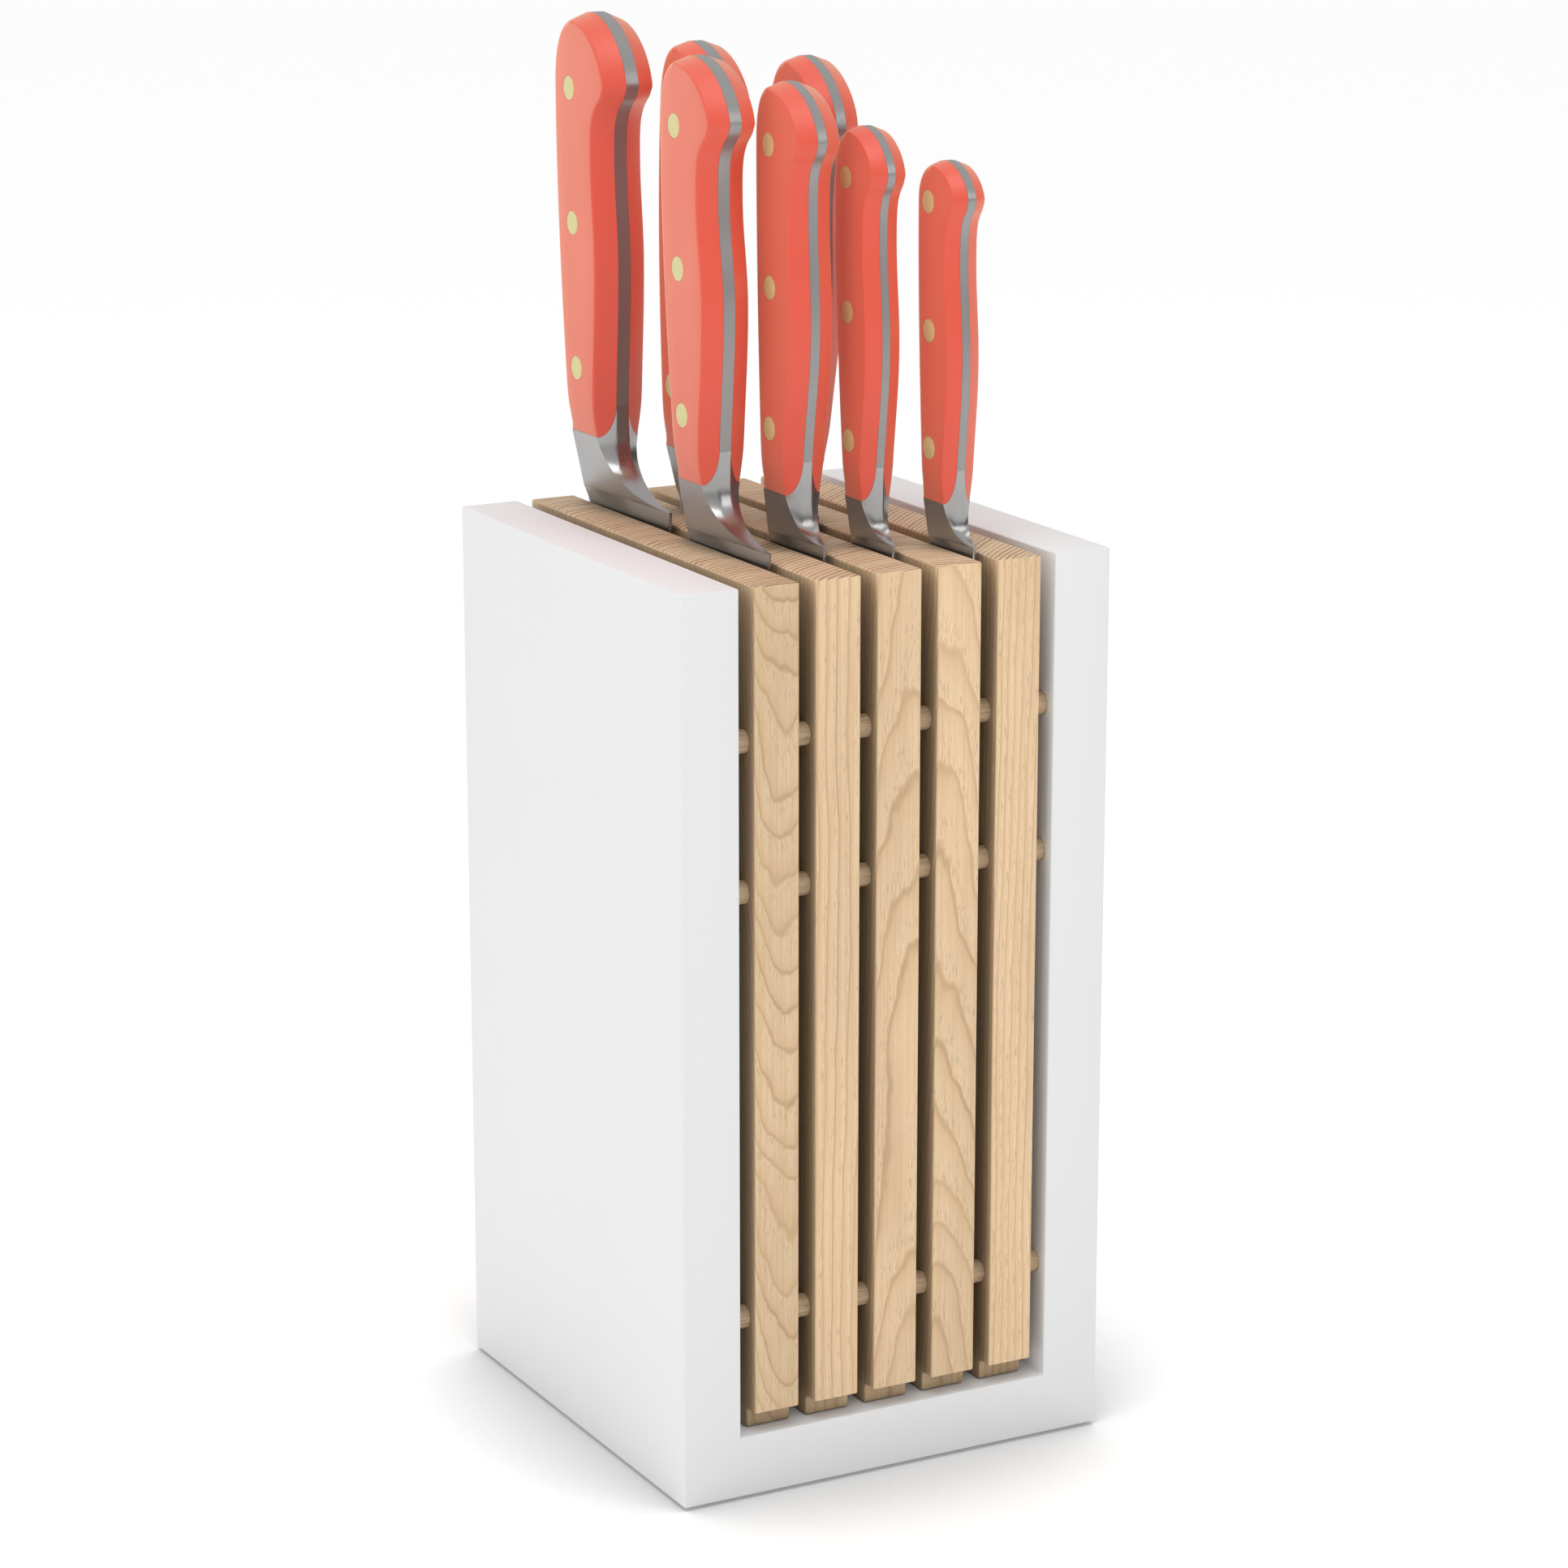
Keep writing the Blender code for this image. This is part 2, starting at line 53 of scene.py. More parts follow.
# ---- Camera and light ----------------------------------------------------------------
CAMERA_TARGET = (1.6 * MM, 0, 178.1 * MM)
CAMERA_AZIMUTH = 28.25              # degrees to the left of the front
CAMERA_ELEVATION = 14.6
CAMERA_DISTANCE = 1268.5 * MM
LENS = 105.1                        # mm
SENSOR_WIDTH = 36                   # mm
SOFTBOXES = {                       # metres and watts
    "overhead_softbox": dict(place=(-0.25, -0.35, 1.35), target=(0, 0, 0.3),
                             size=(0.7, 0.7), power=3.9),
    "front_softbox": dict(place=(0.69, -1.23, 0.88), target=(0, 0, 0.35),
                          size=(0.45, 0.7), power=2.1),
}
CEILING_LIGHT = 0.80                # brightness of the studio overhead
WINDOW_SIDE = (-0.75, 0.5)          # x and y of the way to its bright side
WALL_LIGHT = (0.06, 0.86)           # brightness at eye level, on the dim and the bright side

# ---- Block ---------------------------------------------------------------------------
SOFTEN_ANGLE = math.radians(50)     # edges sharper than this are eased
PANEL_EDGE = 0.45 * MM              # eased edges of the lacquered housing
SLAT_EDGE = 0.55 * MM
REBATE_DEPTH = 5.3 * MM             # shadow gap along the foot of each slat
REBATE_HEIGHT = 5.6 * MM
REBATE_ROUND = 1.4 * MM             # radius inside the rebate
REBATE_STEPS = 5
PAINTED_SHADE_REACH = 14 * MM                 # how far the painted shade reaches into the gaps, on the slats' sides
PAINTED_GAP_SHADE = 0.42                    # brightness the painted shade leaves deepest in the gaps
ROD_RADIUS = 3.2 * MM
ROD_CLEARANCE = 0.12 * MM
ROD_SIDES = 48
ROD_EDGE = 0.5 * MM
FEET = ("front_foot", "back_foot")
FOOT_CLEARANCE = 0.6 * MM           # how much larger a foot's recess is, each way
FOOT_EDGE = 0.4 * MM

# ---- Knives --------------------------------------------------------------------------
SEAM = 0.05 * MM                    # hairline between steel, grips and rivets
BACK_CHAMFER = 0.8 * MM             # slope of the grips' back, beside the tang
FRONT_ROUND = 0.6 * MM              # rounding between a grip's flat and its belly face
BACK_ROUND = 1.9 * MM               # and between its flat and its back
CROWN_FRONT = 1.8                   # roundness of the butt, front and back: 2 is an ellipse
CROWN_BACK = 2.3
CROWN_TRIM = 0.2                    # mm off the butt, to stay inside the frame's size
CROWN_REACH = 89.4                  # degrees of the crown's arc up to its last ring
CROWN_INSET = 0.75                  # of the belly's slope, between the tang's top and the flat's
JUNCTION = 9 * MM                   # how far the bolster runs up between the grips
SCALE_TAPER = 0.11                  # part of the handle in which the grips grow thinner
END_THICKNESS = 0.82                # thickness at the bolster, as part of the full one
GRIP_PLACE = 0.42                   # where the grip is slimmest, as part of its length
WAIST_DROP = 0.16                   # how far below the beak the hook starts, likewise
HOOK_POWER = 4                      # how sharply the belly runs out to the beak
BEAK_SOFTNESS = 2.4 * MM            # rounding of the beak along the outline
COVE_DEPTH = 0.8 * MM               # how hollow the polished front of the bolster becomes
COVE_END = 0.7                      # where, as part of its quarter turn down to the heel
COVE_HEEL = 0.25 * MM               # how hollow it still is at the heel
HEEL_HALF = 0.45 * MM               # half thickness at the top of the heel
EDGE_HALF = 0.1 * MM                # half thickness of the ground edge
SHOULDER_HALF = 2.2 * MM            # bolster's half thickness where it meets the slats
BLADE_SHOULDER = 8 * MM             # below the slats' top, where the bolster has become blade
SPINE_TAPER = 0.5                   # how much thinner the spine is at the tip
WEDGE_POWER = 0.8                   # swell of the blade's faces, between edge and spine
EDGE_ROUND = 0.01                   # part of the blade's width that the edge's rounding takes
WEDGE_END = 0.94                    # part of the blade's width where the spine's easing starts
SPINE_FLAT = 0.6                    # width of the flat along the spine, as part of the thickness
PIN_EDGE = 0.12 * MM
PIN_PROUD = 0.02 * MM               # how far a rivet stands out of the grip's flat
SHARP_ANGLE = math.radians(38)      # faces that meet at more than this are shaded apart

# Rings of the lofted pieces.
FRONT_POINTS = (0, 0.2, 0.35, 0.5, 0.6, 0.7, 0.8, 0.9, 1)     # across half of the front
SIDE_POINTS = (0.2, 0.45, 0.7, 1)                             # from its edge to the back
JUNCTION_POINTS = (0.01, 0.03, 0.06, 0.10, 0.15, 0.22, 0.3, 0.4, 0.5, 0.62, 0.75, 0.88, 1)
BLADE_RINGS = 24
SHOULDER_RINGS = 5
BOLSTER_RINGS = 28
GRIP_RINGS = 18
HOOK_RINGS = 20
CROWN_RINGS = 24
HOOK_SPAN = 0.14                    # part of the grip below the beak with close rings
CORNER_STEPS = 6

# Materials of a forging, in their order on it. A face above the slats is polished where it
# faces the front or upwards by more than this.
SATIN, POLISHED, GROUND, BRUSHED = range(4)
FACES_FRONT = 0.15
FACES_UP = 0.2

# Each knife is drawn with its heel at y = 0 and the slats' top at z = 0, in millimetres.
#   reach        : the heel's distance behind the housing's front
#   lean         : how far the handle leans towards the front, in degrees
#   end, butt    : heights of the bolster end and the butt end of the grips
#   half, tang   : half thickness of the handle and of the tang
#   slope        : drop of the belly face from the tang to the grip's flat
#   belly        : front of the tang at the bolster, at mid grip, and above the grip
#   beak         : y and z of the hook's foremost point
#   crown        : y of the butt's highest point
#   back         : back of the tang at the bolster, and at its widest
#   heel         : height of the heel's top corner
#   blade        : length below the slats' top, width at the top, half thickness at the spine
#   spine        : forward slope of the spine along the blade, and the extra drop at the tip
#   tip          : exponents of the taper in width; large ones give a blunt tip
KNIVES = {
    "chefs_knife": dict(
        reach=78.3, lean=0, end=20.4, butt=136.2, half=7.7, tang=1.85, slope=3.2,
        belly=(29.2, 27.0, 28.9), beak=(20.8, 115.5), crown=42.4, back=(49.0, 55.6),
        heel=4.3, blade=(200, 48.4, 1.35), spine=(14.4, 3), tip=(2.2, 1.5)),
    "small_chefs_knife": dict(
        reach=21.0, lean=0, end=17.3, butt=129.6, half=7.0, tang=1.7, slope=2.4,
        belly=(25.3, 22.4, 25.4), beak=(18.1, 111.3), crown=39.3, back=(42.3, 50.2),
        heel=3.3, blade=(160, 43.4, 1.2), spine=(0, 5), tip=(2.3, 1.6)),
    "bread_knife": dict(
        reach=75.0, lean=4.6, end=15.4, butt=127.4, half=7.0, tang=1.7, slope=2.4,
        belly=(16.7, 13.8, 16.8), beak=(9.5, 109.0), crown=31.6, back=(32.8, 41.2),
        heel=3.0, blade=(200, 31.0, 1.1), spine=(2, 9), tip=(7.0, 2.2)),
    "carving_knife": dict(
        reach=24.3, lean=0, end=15.0, butt=123.5, half=6.4, tang=1.35, slope=2.4,
        belly=(9.9, 5.3, 6.8), beak=(1.2, 107.0), crown=19.9, back=(25.4, 28.3),
        heel=2.9, blade=(180, 27.9, 1.05), spine=(0, 3), tip=(3.2, 1.5)),
    "boning_knife": dict(
        reach=62.0, lean=7, end=16.5, butt=125.6, half=6.4, tang=1.45, slope=2.3,
        belly=(5.1, 2.2, 5.0), beak=(-0.2, 108.0), crown=20.6, back=(21.4, 30.8),
        heel=3.0, blade=(150, 21.0, 1.0), spine=(0, 2), tip=(2.0, 1.4)),
    "utility_knife": dict(
        reach=19.5, lean=0, end=13.0, butt=111.8, half=5.3, tang=1.15, slope=2.0,
        belly=(8.0, 4.6, 6.4), beak=(1.7, 98.2), crown=15.7, back=(19.8, 25.0),
        heel=2.4, blade=(120, 19.8, 0.9), spine=(0, 2), tip=(2.6, 1.5)),
    "paring_knife": dict(
        reach=8.3, lean=0, end=12.4, butt=103.0, half=5.0, tang=1.2, slope=1.8,
        belly=(7.8, 5.2, 6.9), beak=(2.6, 91.9), crown=14.5, back=(21.0, 24.3),
        heel=2.1, blade=(90, 20.9, 0.85), spine=(0, 2), tip=(2.2, 1.5)),
}

# ---- Floor ---------------------------------------------------------------------------
FLOOR_SIZE = 30                     # metres, from the middle to a side
FLOOR_GLOW = 0.31                   # the floor is lit from below a little, like a light table
PAINTED_SHADOW_REACH = 80 * MM             # width of the painted soft shadow where the block stands
PAINTED_SHADOW_BRIGHTNESS = 0.55                # brightness the painted shadow leaves in the floor's colour
PAINTED_SHADOW_GLOW = 0.45                 # and glow the painted shadow leaves in the floor's emission

# ---- Colours, linear -----------------------------------------------------------------
LACQUER = (0.86, 0.86, 0.865)
FLOOR = (0.93, 0.93, 0.93)
ASH_PALE = (0.93, 0.69, 0.44)
ASH_LATE = (0.78, 0.52, 0.285)
ASH_LINE = (0.33, 0.19, 0.10)
ASH_END = (0.80, 0.61, 0.43)
ASH_PORE = (0.36, 0.21, 0.10)
DOWEL = (0.62, 0.45, 0.28)
CORAL = (0.84, 0.09, 0.048)
STEEL = (0.45, 0.445, 0.44)
BRASS = (0.78, 0.70, 0.34)
RUBBER = (0.03, 0.03, 0.03)

# ---- Finishes ------------------------------------------------------------------------
NOISE_SPAN = (0.3, 0.7)             # most of a noise's values lie in this range
LACQUER_ROUGH = (0.54, 0.64)
ASH_ROUGH = (0.55, 0.68)
DOWEL_ROUGH = (0.5, 0.65)
CORAL_ROUGH = (0.36, 0.46)
BRASS_ROUGH = (0.42, 0.55)
RUBBER_ROUGH = (0.75, 0.9)

#   lines    : how fine the grinding lines are along each axis, per metre
#   rough    : range of roughness
#   depth    : of the lines, mm
#   metallic : how much of the light is reflected as from bare metal
#   tone     : how light the steel is
STEEL_FINISHES = {
    "satin": dict(lines=(900, 900, 40), rough=(0.31, 0.36), depth=0.004, metallic=0.8, tone=1.0),
    "polished": dict(lines=(2000, 900, 300), rough=(0.21, 0.24), depth=0.0006, metallic=0.9,
                     tone=0.88),
    "ground": dict(lines=(200, 60, 3200), rough=(0.22, 0.30), depth=0.008, metallic=1.0,
                   tone=1.0),
    "brushed": dict(lines=(2000, 300, 80), rough=(0.28, 0.33), depth=0.004, metallic=0.6,
                    tone=0.74),
}

# Growth rings of each slat: steep ones show as straight grain on its front, and slanting or
# bowed ones as arches.
#   ring    : ring width, mm
#   rise    : how fast the rings come forward with height
#   skew    : and with x
#   bow     : their curvature across the slat, per mm
#   wander  : how far they stray, mm
#   seed    : which part of the noises it shows
#   tone    : how light the board is
GROWTH = {
    "slat_1": dict(ring=2.2, rise=-0.18, skew=-0.24, bow=0.036, wander=5.5, seed=1.0, tone=0.86),
    "slat_2": dict(ring=2.3, rise=0.008, skew=-0.7, bow=0.012, wander=2.0, seed=2.0, tone=0.94),
    "slat_3": dict(ring=2.3, rise=0.065, skew=-0.26, bow=0.014, wander=4.0, seed=3.0, tone=0.93),
    "slat_4": dict(ring=2.3, rise=0.11, skew=0.30, bow=0.014, wander=4.0, seed=4.0, tone=0.93),
    "slat_5": dict(ring=2.1, rise=0.012, skew=-0.9, bow=0.01, wander=2.0, seed=5.0, tone=0.94),
}
SEED_STEP = (3.7, 1.9, 5.3)         # shift of the noises from one seed to the next
FIRST_YEAR = 200.0                  # keeps the years above zero


# ---- Node material helper ------------------------------------------------------------
class Sketch:
    """A node tree, with short calls that add a node and return its output."""

    def __init__(self, tree):
        self.tree = tree

    def add(self, kind, inputs=(), **settings):
        """A node of a kind, with values or links for its inputs."""
        node = self.tree.nodes.new("ShaderNode" + kind)
        for key, value in settings.items():
            setattr(node, key, value)
        for key, value in dict(inputs).items():
            self.feed(node.inputs[key], value)
        return node

    def feed(self, socket, value):
        if isinstance(value, bpy.types.NodeSocket):
            self.tree.links.new(value, socket)
        else:
            socket.default_value = value

    def place(self):
        """Object coordinates, in metres."""
        return self.add("TexCoord").outputs["Object"]

    def scaled(self, vector, scale, shift=(0, 0, 0)):
        inputs = {"Vector": vector, "Scale": scale, "Location": shift}
        return self.add("Mapping", inputs).outputs["Vector"]

    def noise(self, vector, scale, shift=(0, 0, 0), detail=2.0):
        """Noise with its own scale per axis, in cycles per metre."""
        inputs = {"Vector": self.scaled(vector, scale, shift), "Scale": 1.0, "Detail": detail}
        return self.add("TexNoise", inputs).outputs["Fac"]

    def math(self, operation, first, second=0.0):
        return self.add("Math", {0: first, 1: second}, operation=operation).outputs[0]

    def span(self, value, low, high, to_low=0.0, to_high=1.0):
        """Smooth step of a value from one range to another."""
        inputs = {"Value": value, "From Min": low, "From Max": high,
                  "To Min": to_low, "To Max": to_high}
        node = self.add("MapRange", inputs, interpolation_type="SMOOTHSTEP")
        return node.outputs["Result"]

    def vector_math(self, operation, first, second):
        return self.add("VectorMath", {0: first, 1: second},
                        operation=operation).outputs["Vector"]

    def mix(self, part, first, second):
        """Blend of two colours, each a tuple or an output."""
        inputs = {"Factor": part, "A": first, "B": second}
        node = self.add("Mix", data_type="RGBA")
        sockets = {s.name: s for s in node.inputs if s.enabled}
        for key, value in inputs.items():
            if isinstance(value, tuple):
                value = (*value, 1)
            self.feed(sockets[key], value)
        return next(s for s in node.outputs if s.enabled)

    def bump(self, height, distance, strength=1.0):
        inputs = {"Height": height, "Distance": distance, "Strength": strength}
        return self.add("Bump", inputs).outputs["Normal"]


def shaded(colour, part):
    """A colour made darker (part below 1) or lighter, and never brighter than white."""
    return tuple(min(part * value, 1) for value in colour)


def new_material(name):
    """A material, its sketch and its shader."""
    material = bpy.data.materials.new(name)
    material.use_nodes = True
    return material, Sketch(material.node_tree), material.node_tree.nodes["Principled BSDF"]


# ---- Materials -----------------------------------------------------------------------
def lacquer_material():
    """Matte sprayed lacquer: the finest orange peel, and a little cloudiness in its gloss."""
    material, sketch, shader = new_material("matte_white_lacquer")
    place = sketch.place()
    cloud = sketch.noise(place, (18, 18, 18), detail=3)
    peel = sketch.noise(place, (900, 900, 900), detail=1)
    sketch.feed(shader.inputs["Base Color"],
                sketch.mix(cloud, LACQUER, shaded(LACQUER, 0.985)))
    sketch.feed(shader.inputs["Roughness"], sketch.span(cloud, *NOISE_SPAN, *LACQUER_ROUGH))
    sketch.feed(shader.inputs["Normal"], sketch.bump(peel, 0.02 * MM, 0.4))
    shader.inputs["Specular IOR Level"].default_value = 0.28
    return material


def growth_years(sketch, place, shift, middle, growth):
    """How many rings deep a point lies: the whole part is the year, the rest its season."""
    centred = sketch.add("SeparateXYZ", {0: sketch.vector_math("SUBTRACT", place, tuple(middle))})
    x, y, z = (centred.outputs[axis] for axis in "XYZ")
    stray = sketch.noise(place, (34, 34, 15), shift, detail=4)
    depth = sketch.math("ADD", y, sketch.math("MULTIPLY", stray, growth["wander"] * 2 * MM))
    depth = sketch.math("ADD", depth, sketch.math("MULTIPLY", z, growth["rise"]))
    depth = sketch.math("ADD", depth, sketch.math("MULTIPLY", x, growth["skew"]))
    curve = sketch.math("MULTIPLY", sketch.math("MULTIPLY", x, x), growth["bow"] / MM)
    years = sketch.math("DIVIDE", sketch.math("ADD", depth, curve), growth["ring"] * MM)
    years = sketch.math("ADD", years, FIRST_YEAR)
    drift = sketch.noise(place, (20, 20, 8), shift, detail=1)
    return sketch.math("ADD", years, sketch.math("MULTIPLY", drift, 2.0))


def ring_line(sketch, years, season, end_grain):
    """Dark line that ends a year, stronger in some years, and broader on end grain."""
    vigour = sketch.add("TexWhiteNoise", {"W": sketch.math("FLOOR", years)},
                        noise_dimensions="1D").outputs["Value"]
    vigour = sketch.math("ADD", sketch.math("MULTIPLY", vigour, 0.8), 0.5)
    line_start = sketch.span(end_grain, 0, 1, 0.78, 0.22)
    line = sketch.math("MULTIPLY", sketch.span(season, line_start, 0.92),
                       sketch.math("SUBTRACT", 1.0, sketch.span(season, 0.93, 1.0)))
    return sketch.math("MULTIPLY", line, vigour)


def ash_pores(sketch, place, shift, season):
    """Masks of the dark pores and the pale ones, both mostly in the early wood."""
    early = sketch.math("SUBTRACT", 1.0, sketch.span(season, 0.25, 0.5))
    noise = sketch.noise(place, (3400, 3400, 300), shift, detail=2)
    dark = sketch.math("MULTIPLY", sketch.span(noise, 0.57, 0.66),
                       sketch.span(early, 0, 1, 0.2, 0.8))
    pale = sketch.math("MULTIPLY", sketch.math("SUBTRACT", 1.0, sketch.span(noise, 0.34, 0.43)),
                       sketch.span(early, 0, 1, 0.05, 0.6))
    return dark, pale


def tone_and_painted_shade(sketch, place, shift, tone):
    """Grey that a board's colour is multiplied by: its tone, patches, and painted shade in the
    gaps between slats.
    """
    patches = sketch.noise(place, (60, 60, 9), shift, detail=2)
    shade = sketch.span(patches, *NOISE_SPAN, 0.93 * tone, 1.04 * tone)
    # Painted shade: ambient occlusion darkens the colour in the narrow gaps between slats.
    open_part = sketch.add("AmbientOcclusion", {"Distance": PAINTED_SHADE_REACH}, samples=8).outputs["AO"]
    shade = sketch.math("MULTIPLY", shade, sketch.span(open_part, 0.25, 0.85, PAINTED_GAP_SHADE, 1))
    return sketch.add("CombineXYZ", {0: shade, 1: shade, 2: shade}).outputs[0]


def ash_material(name):
    """Ash with growth rings across the board, pores in the early wood, and fibres."""
    material, sketch, shader = new_material(name + "_ash")
    growth = GROWTH[name]
    shift = tuple(growth["seed"] * value for value in SEED_STEP)
    place = sketch.place()
    low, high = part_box(name)
    years = growth_years(sketch, place, shift, (low + high) / 2, growth)
    season = sketch.math("FRACT", years)
    facing = sketch.add("SeparateXYZ", {0: sketch.add("TexCoord").outputs["Normal"]})
    end_grain = sketch.span(sketch.math("ABSOLUTE", facing.outputs["Z"]), 0.6, 0.9)
    line = ring_line(sketch, years, season, end_grain)
    dark_pores, pale_pores = ash_pores(sketch, place, shift, season)
    fibres = sketch.noise(place, (1500, 1500, 22), shift, detail=3)

    late = sketch.span(season, 0.35, 1.0)
    colour = sketch.mix(sketch.math("MULTIPLY", late, 0.55), ASH_PALE, ASH_LATE)
    colour = sketch.mix(sketch.span(end_grain, 0, 1, 0, 0.8), colour, ASH_END)
    colour = sketch.mix(sketch.math("MULTIPLY", line, sketch.span(end_grain, 0, 1, 0.32, 1.0)),
                        colour, ASH_LINE)
    colour = sketch.mix(sketch.span(fibres, 0.35, 0.7, 0, 0.5), colour, ASH_LATE)
    colour = sketch.mix(sketch.math("MULTIPLY", dark_pores, 0.42), colour, ASH_PORE)
    colour = sketch.mix(pale_pores, colour, shaded(ASH_PALE, 1.12))
    # Board tone and patches, times the painted shade in the gaps.
    grey = tone_and_painted_shade(sketch, place, shift, growth["tone"])
    sketch.feed(shader.inputs["Base Color"], sketch.vector_math("MULTIPLY", colour, grey))
    sketch.feed(shader.inputs["Roughness"], sketch.span(fibres, *NOISE_SPAN, *ASH_ROUGH))
    height = sketch.math("SUBTRACT", sketch.math("MULTIPLY", fibres, 0.5), dark_pores)
    sketch.feed(shader.inputs["Normal"], sketch.bump(height, 0.08 * MM, 0.6))
    shader.inputs["Specular IOR Level"].default_value = 0.3
    return material


def dowel_material():
    """Beech dowel: fine grain along the rod, with short dark flecks."""
    material, sketch, shader = new_material("beech_dowel")
    place = sketch.place()
    grain = sketch.noise(place, (25, 1400, 1400), detail=3)
    flecks = sketch.noise(place, (240, 2600, 2600), detail=1)
    colour = sketch.mix(sketch.span(grain, 0.35, 0.7), DOWEL, shaded(DOWEL, 0.72))
    colour = sketch.mix(sketch.span(flecks, 0.62, 0.72, 0, 0.7), colour, ASH_PORE)
    sketch.feed(shader.inputs["Base Color"], colour)
    sketch.feed(shader.inputs["Roughness"], sketch.span(grain, *NOISE_SPAN, *DOWEL_ROUGH))
    sketch.feed(shader.inputs["Normal"], sketch.bump(grain, 0.05 * MM, 0.6))
    return material


def coral_material():
    """Satin moulded plastic with a faint texture and clouds in its gloss."""
    material, sketch, shader = new_material("coral_grip")
    place = sketch.place()
    cloud = sketch.noise(place, (45, 45, 30), detail=2)
    texture = sketch.noise(place, (2400, 2400, 2400), detail=1)
    sketch.feed(shader.inputs["Base Color"],
                sketch.mix(cloud, CORAL, shaded(CORAL, 0.94)))
    sketch.feed(shader.inputs["Roughness"], sketch.span(cloud, *NOISE_SPAN, *CORAL_ROUGH))
    sketch.feed(shader.inputs["Normal"], sketch.bump(texture, 0.015 * MM, 0.35))
    shader.inputs["IOR"].default_value = 1.55
    shader.inputs["Sheen Weight"].default_value = 1.0
    shader.inputs["Sheen Roughness"].default_value = 0.45
    shader.inputs["Sheen Tint"].default_value = (1, 0.80, 0.56, 1)
    return material


def steel_material(finish, lines, rough, depth, metallic, tone):
    """Steel with grinding lines, in one of the finishes."""
    material, sketch, shader = new_material(finish + "_steel")
    place = sketch.place()
    grind = sketch.noise(place, lines, detail=3)
    cloud = sketch.noise(place, (120, 120, 120), detail=2)
    steel = shaded(STEEL, tone)
    sketch.feed(shader.inputs["Base Color"], sketch.mix(cloud, steel, shaded(steel, 0.93)))
    roughness = sketch.math("ADD", sketch.span(grind, *NOISE_SPAN, *rough),
                            sketch.math("MULTIPLY", cloud, 0.06))
    sketch.feed(shader.inputs["Roughness"], roughness)
    sketch.feed(shader.inputs["Normal"], sketch.bump(grind, depth * MM, 0.1))
    shader.inputs["Metallic"].default_value = metallic
    return material


def brass_material():
    """Pale brass, faced off with fine turning marks and slightly clouded."""
    material, sketch, shader = new_material("pale_brass")
    place = sketch.place()
    marks = sketch.noise(place, (900, 2500, 600), detail=2)
    sketch.feed(shader.inputs["Base Color"],
                sketch.mix(marks, BRASS, shaded(BRASS, 0.9)))
    sketch.feed(shader.inputs["Roughness"], sketch.span(marks, *NOISE_SPAN, *BRASS_ROUGH))
    sketch.feed(shader.inputs["Normal"], sketch.bump(marks, 0.01 * MM, 0.4))
    shader.inputs["Metallic"].default_value = 0.2
    return material


def rubber_material():
    """Black rubber with a gritty skin."""
    material, sketch, shader = new_material("foot_rubber")
    grit = sketch.noise(sketch.place(), (1500, 1500, 1500), detail=2)
    sketch.feed(shader.inputs["Base Color"],
                sketch.mix(grit, RUBBER, shaded(RUBBER, 1.8)))
    sketch.feed(shader.inputs["Roughness"], sketch.span(grit, *NOISE_SPAN, *RUBBER_ROUGH))
    sketch.feed(shader.inputs["Normal"], sketch.bump(grit, 0.05 * MM, 0.5))
    return material


# ---- Mesh helpers --------------------------------------------------------------------
def finish_piece(name, builder, materials, body, replaced):
    """Turn a bmesh into a shaded piece that rides on a body and stands for CAD nodes."""
    bmesh.ops.recalc_face_normals(builder, faces=builder.faces)
    mesh = bpy.data.meshes.new(name)
    builder.to_mesh(mesh)
    builder.free()
    for material in materials:
        mesh.materials.append(material)
    mesh.shade_smooth()
    mesh.set_sharp_from_angle(angle=SHARP_ANGLE)
    piece = bpy.data.objects.new(name, mesh)
    bpy.context.scene.collection.objects.link(piece)
    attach(piece, body)
    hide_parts(*replaced)
    return piece


def extrude_outline(outline, axis, start, end):
    """A solid from a closed outline in the plane across the axis (0 is x, 1 is y)."""
    builder = bmesh.new()
    rings = []
    for depth in (start, end):
        ring = []
        for first, second in outline:
            point = (depth, first, second) if axis == 0 else (first, depth, second)
            ring.append(builder.verts.new(point))
        rings.append(ring)
    count = len(outline)
    for i in range(count):
        j = (i + 1) % count
        builder.faces.new((rings[0][i], rings[0][j], rings[1][j], rings[1][i]))
    builder.faces.new(rings[0])
    builder.faces.new(rings[1])
    bmesh.ops.recalc_face_normals(builder, faces=builder.faces)
    return builder


def soften(builder, width, segments=3):
    """Round every sharp edge."""
    sharp = [edge for edge in builder.edges if edge.calc_face_angle(0) > SOFTEN_ANGLE]
    bmesh.ops.bevel(builder, geom=sharp, offset=width, segments=segments, profile=0.5,
                    affect="EDGES", clamp_overlap=True)


def carve(builder, cutter):
    """Take one bmesh away from another with an exact Boolean."""
    objects = []
    for part in (builder, cutter):
        bmesh.ops.recalc_face_normals(part, faces=part.faces)
        mesh = bpy.data.meshes.new("carving")
        part.to_mesh(mesh)
        part.free()
        thing = bpy.data.objects.new("carving", mesh)
        bpy.context.scene.collection.objects.link(thing)
        objects.append(thing)
    body, tool = objects
    boolean = body.modifiers.new("carve", "BOOLEAN")
    boolean.operation = "DIFFERENCE"
    boolean.object = tool
    evaluated = body.evaluated_get(bpy.context.evaluated_depsgraph_get())
    result = bmesh.new()
    result.from_mesh(evaluated.to_mesh())
    evaluated.to_mesh_clear()
    for thing in objects:
        mesh = thing.data
        bpy.data.objects.remove(thing)
        bpy.data.meshes.remove(mesh)
    return result


def add_rod(builder, radius, centre, half_length):
    """A round bar along x."""
    turn = Matrix.Rotation(math.pi / 2, 4, "Y")
    place = Matrix.Translation(centre) @ turn
    bmesh.ops.create_cone(builder, cap_ends=True, segments=ROD_SIDES, radius1=radius,
                          radius2=radius, depth=2 * half_length, matrix=place)


# ---- Block ---------------------------------------------------------------------------
ROD_NAMES = ["%s_%s_rod" % (face, row) for face in ("front", "back")
             for row in ("top", "middle", "bottom")]


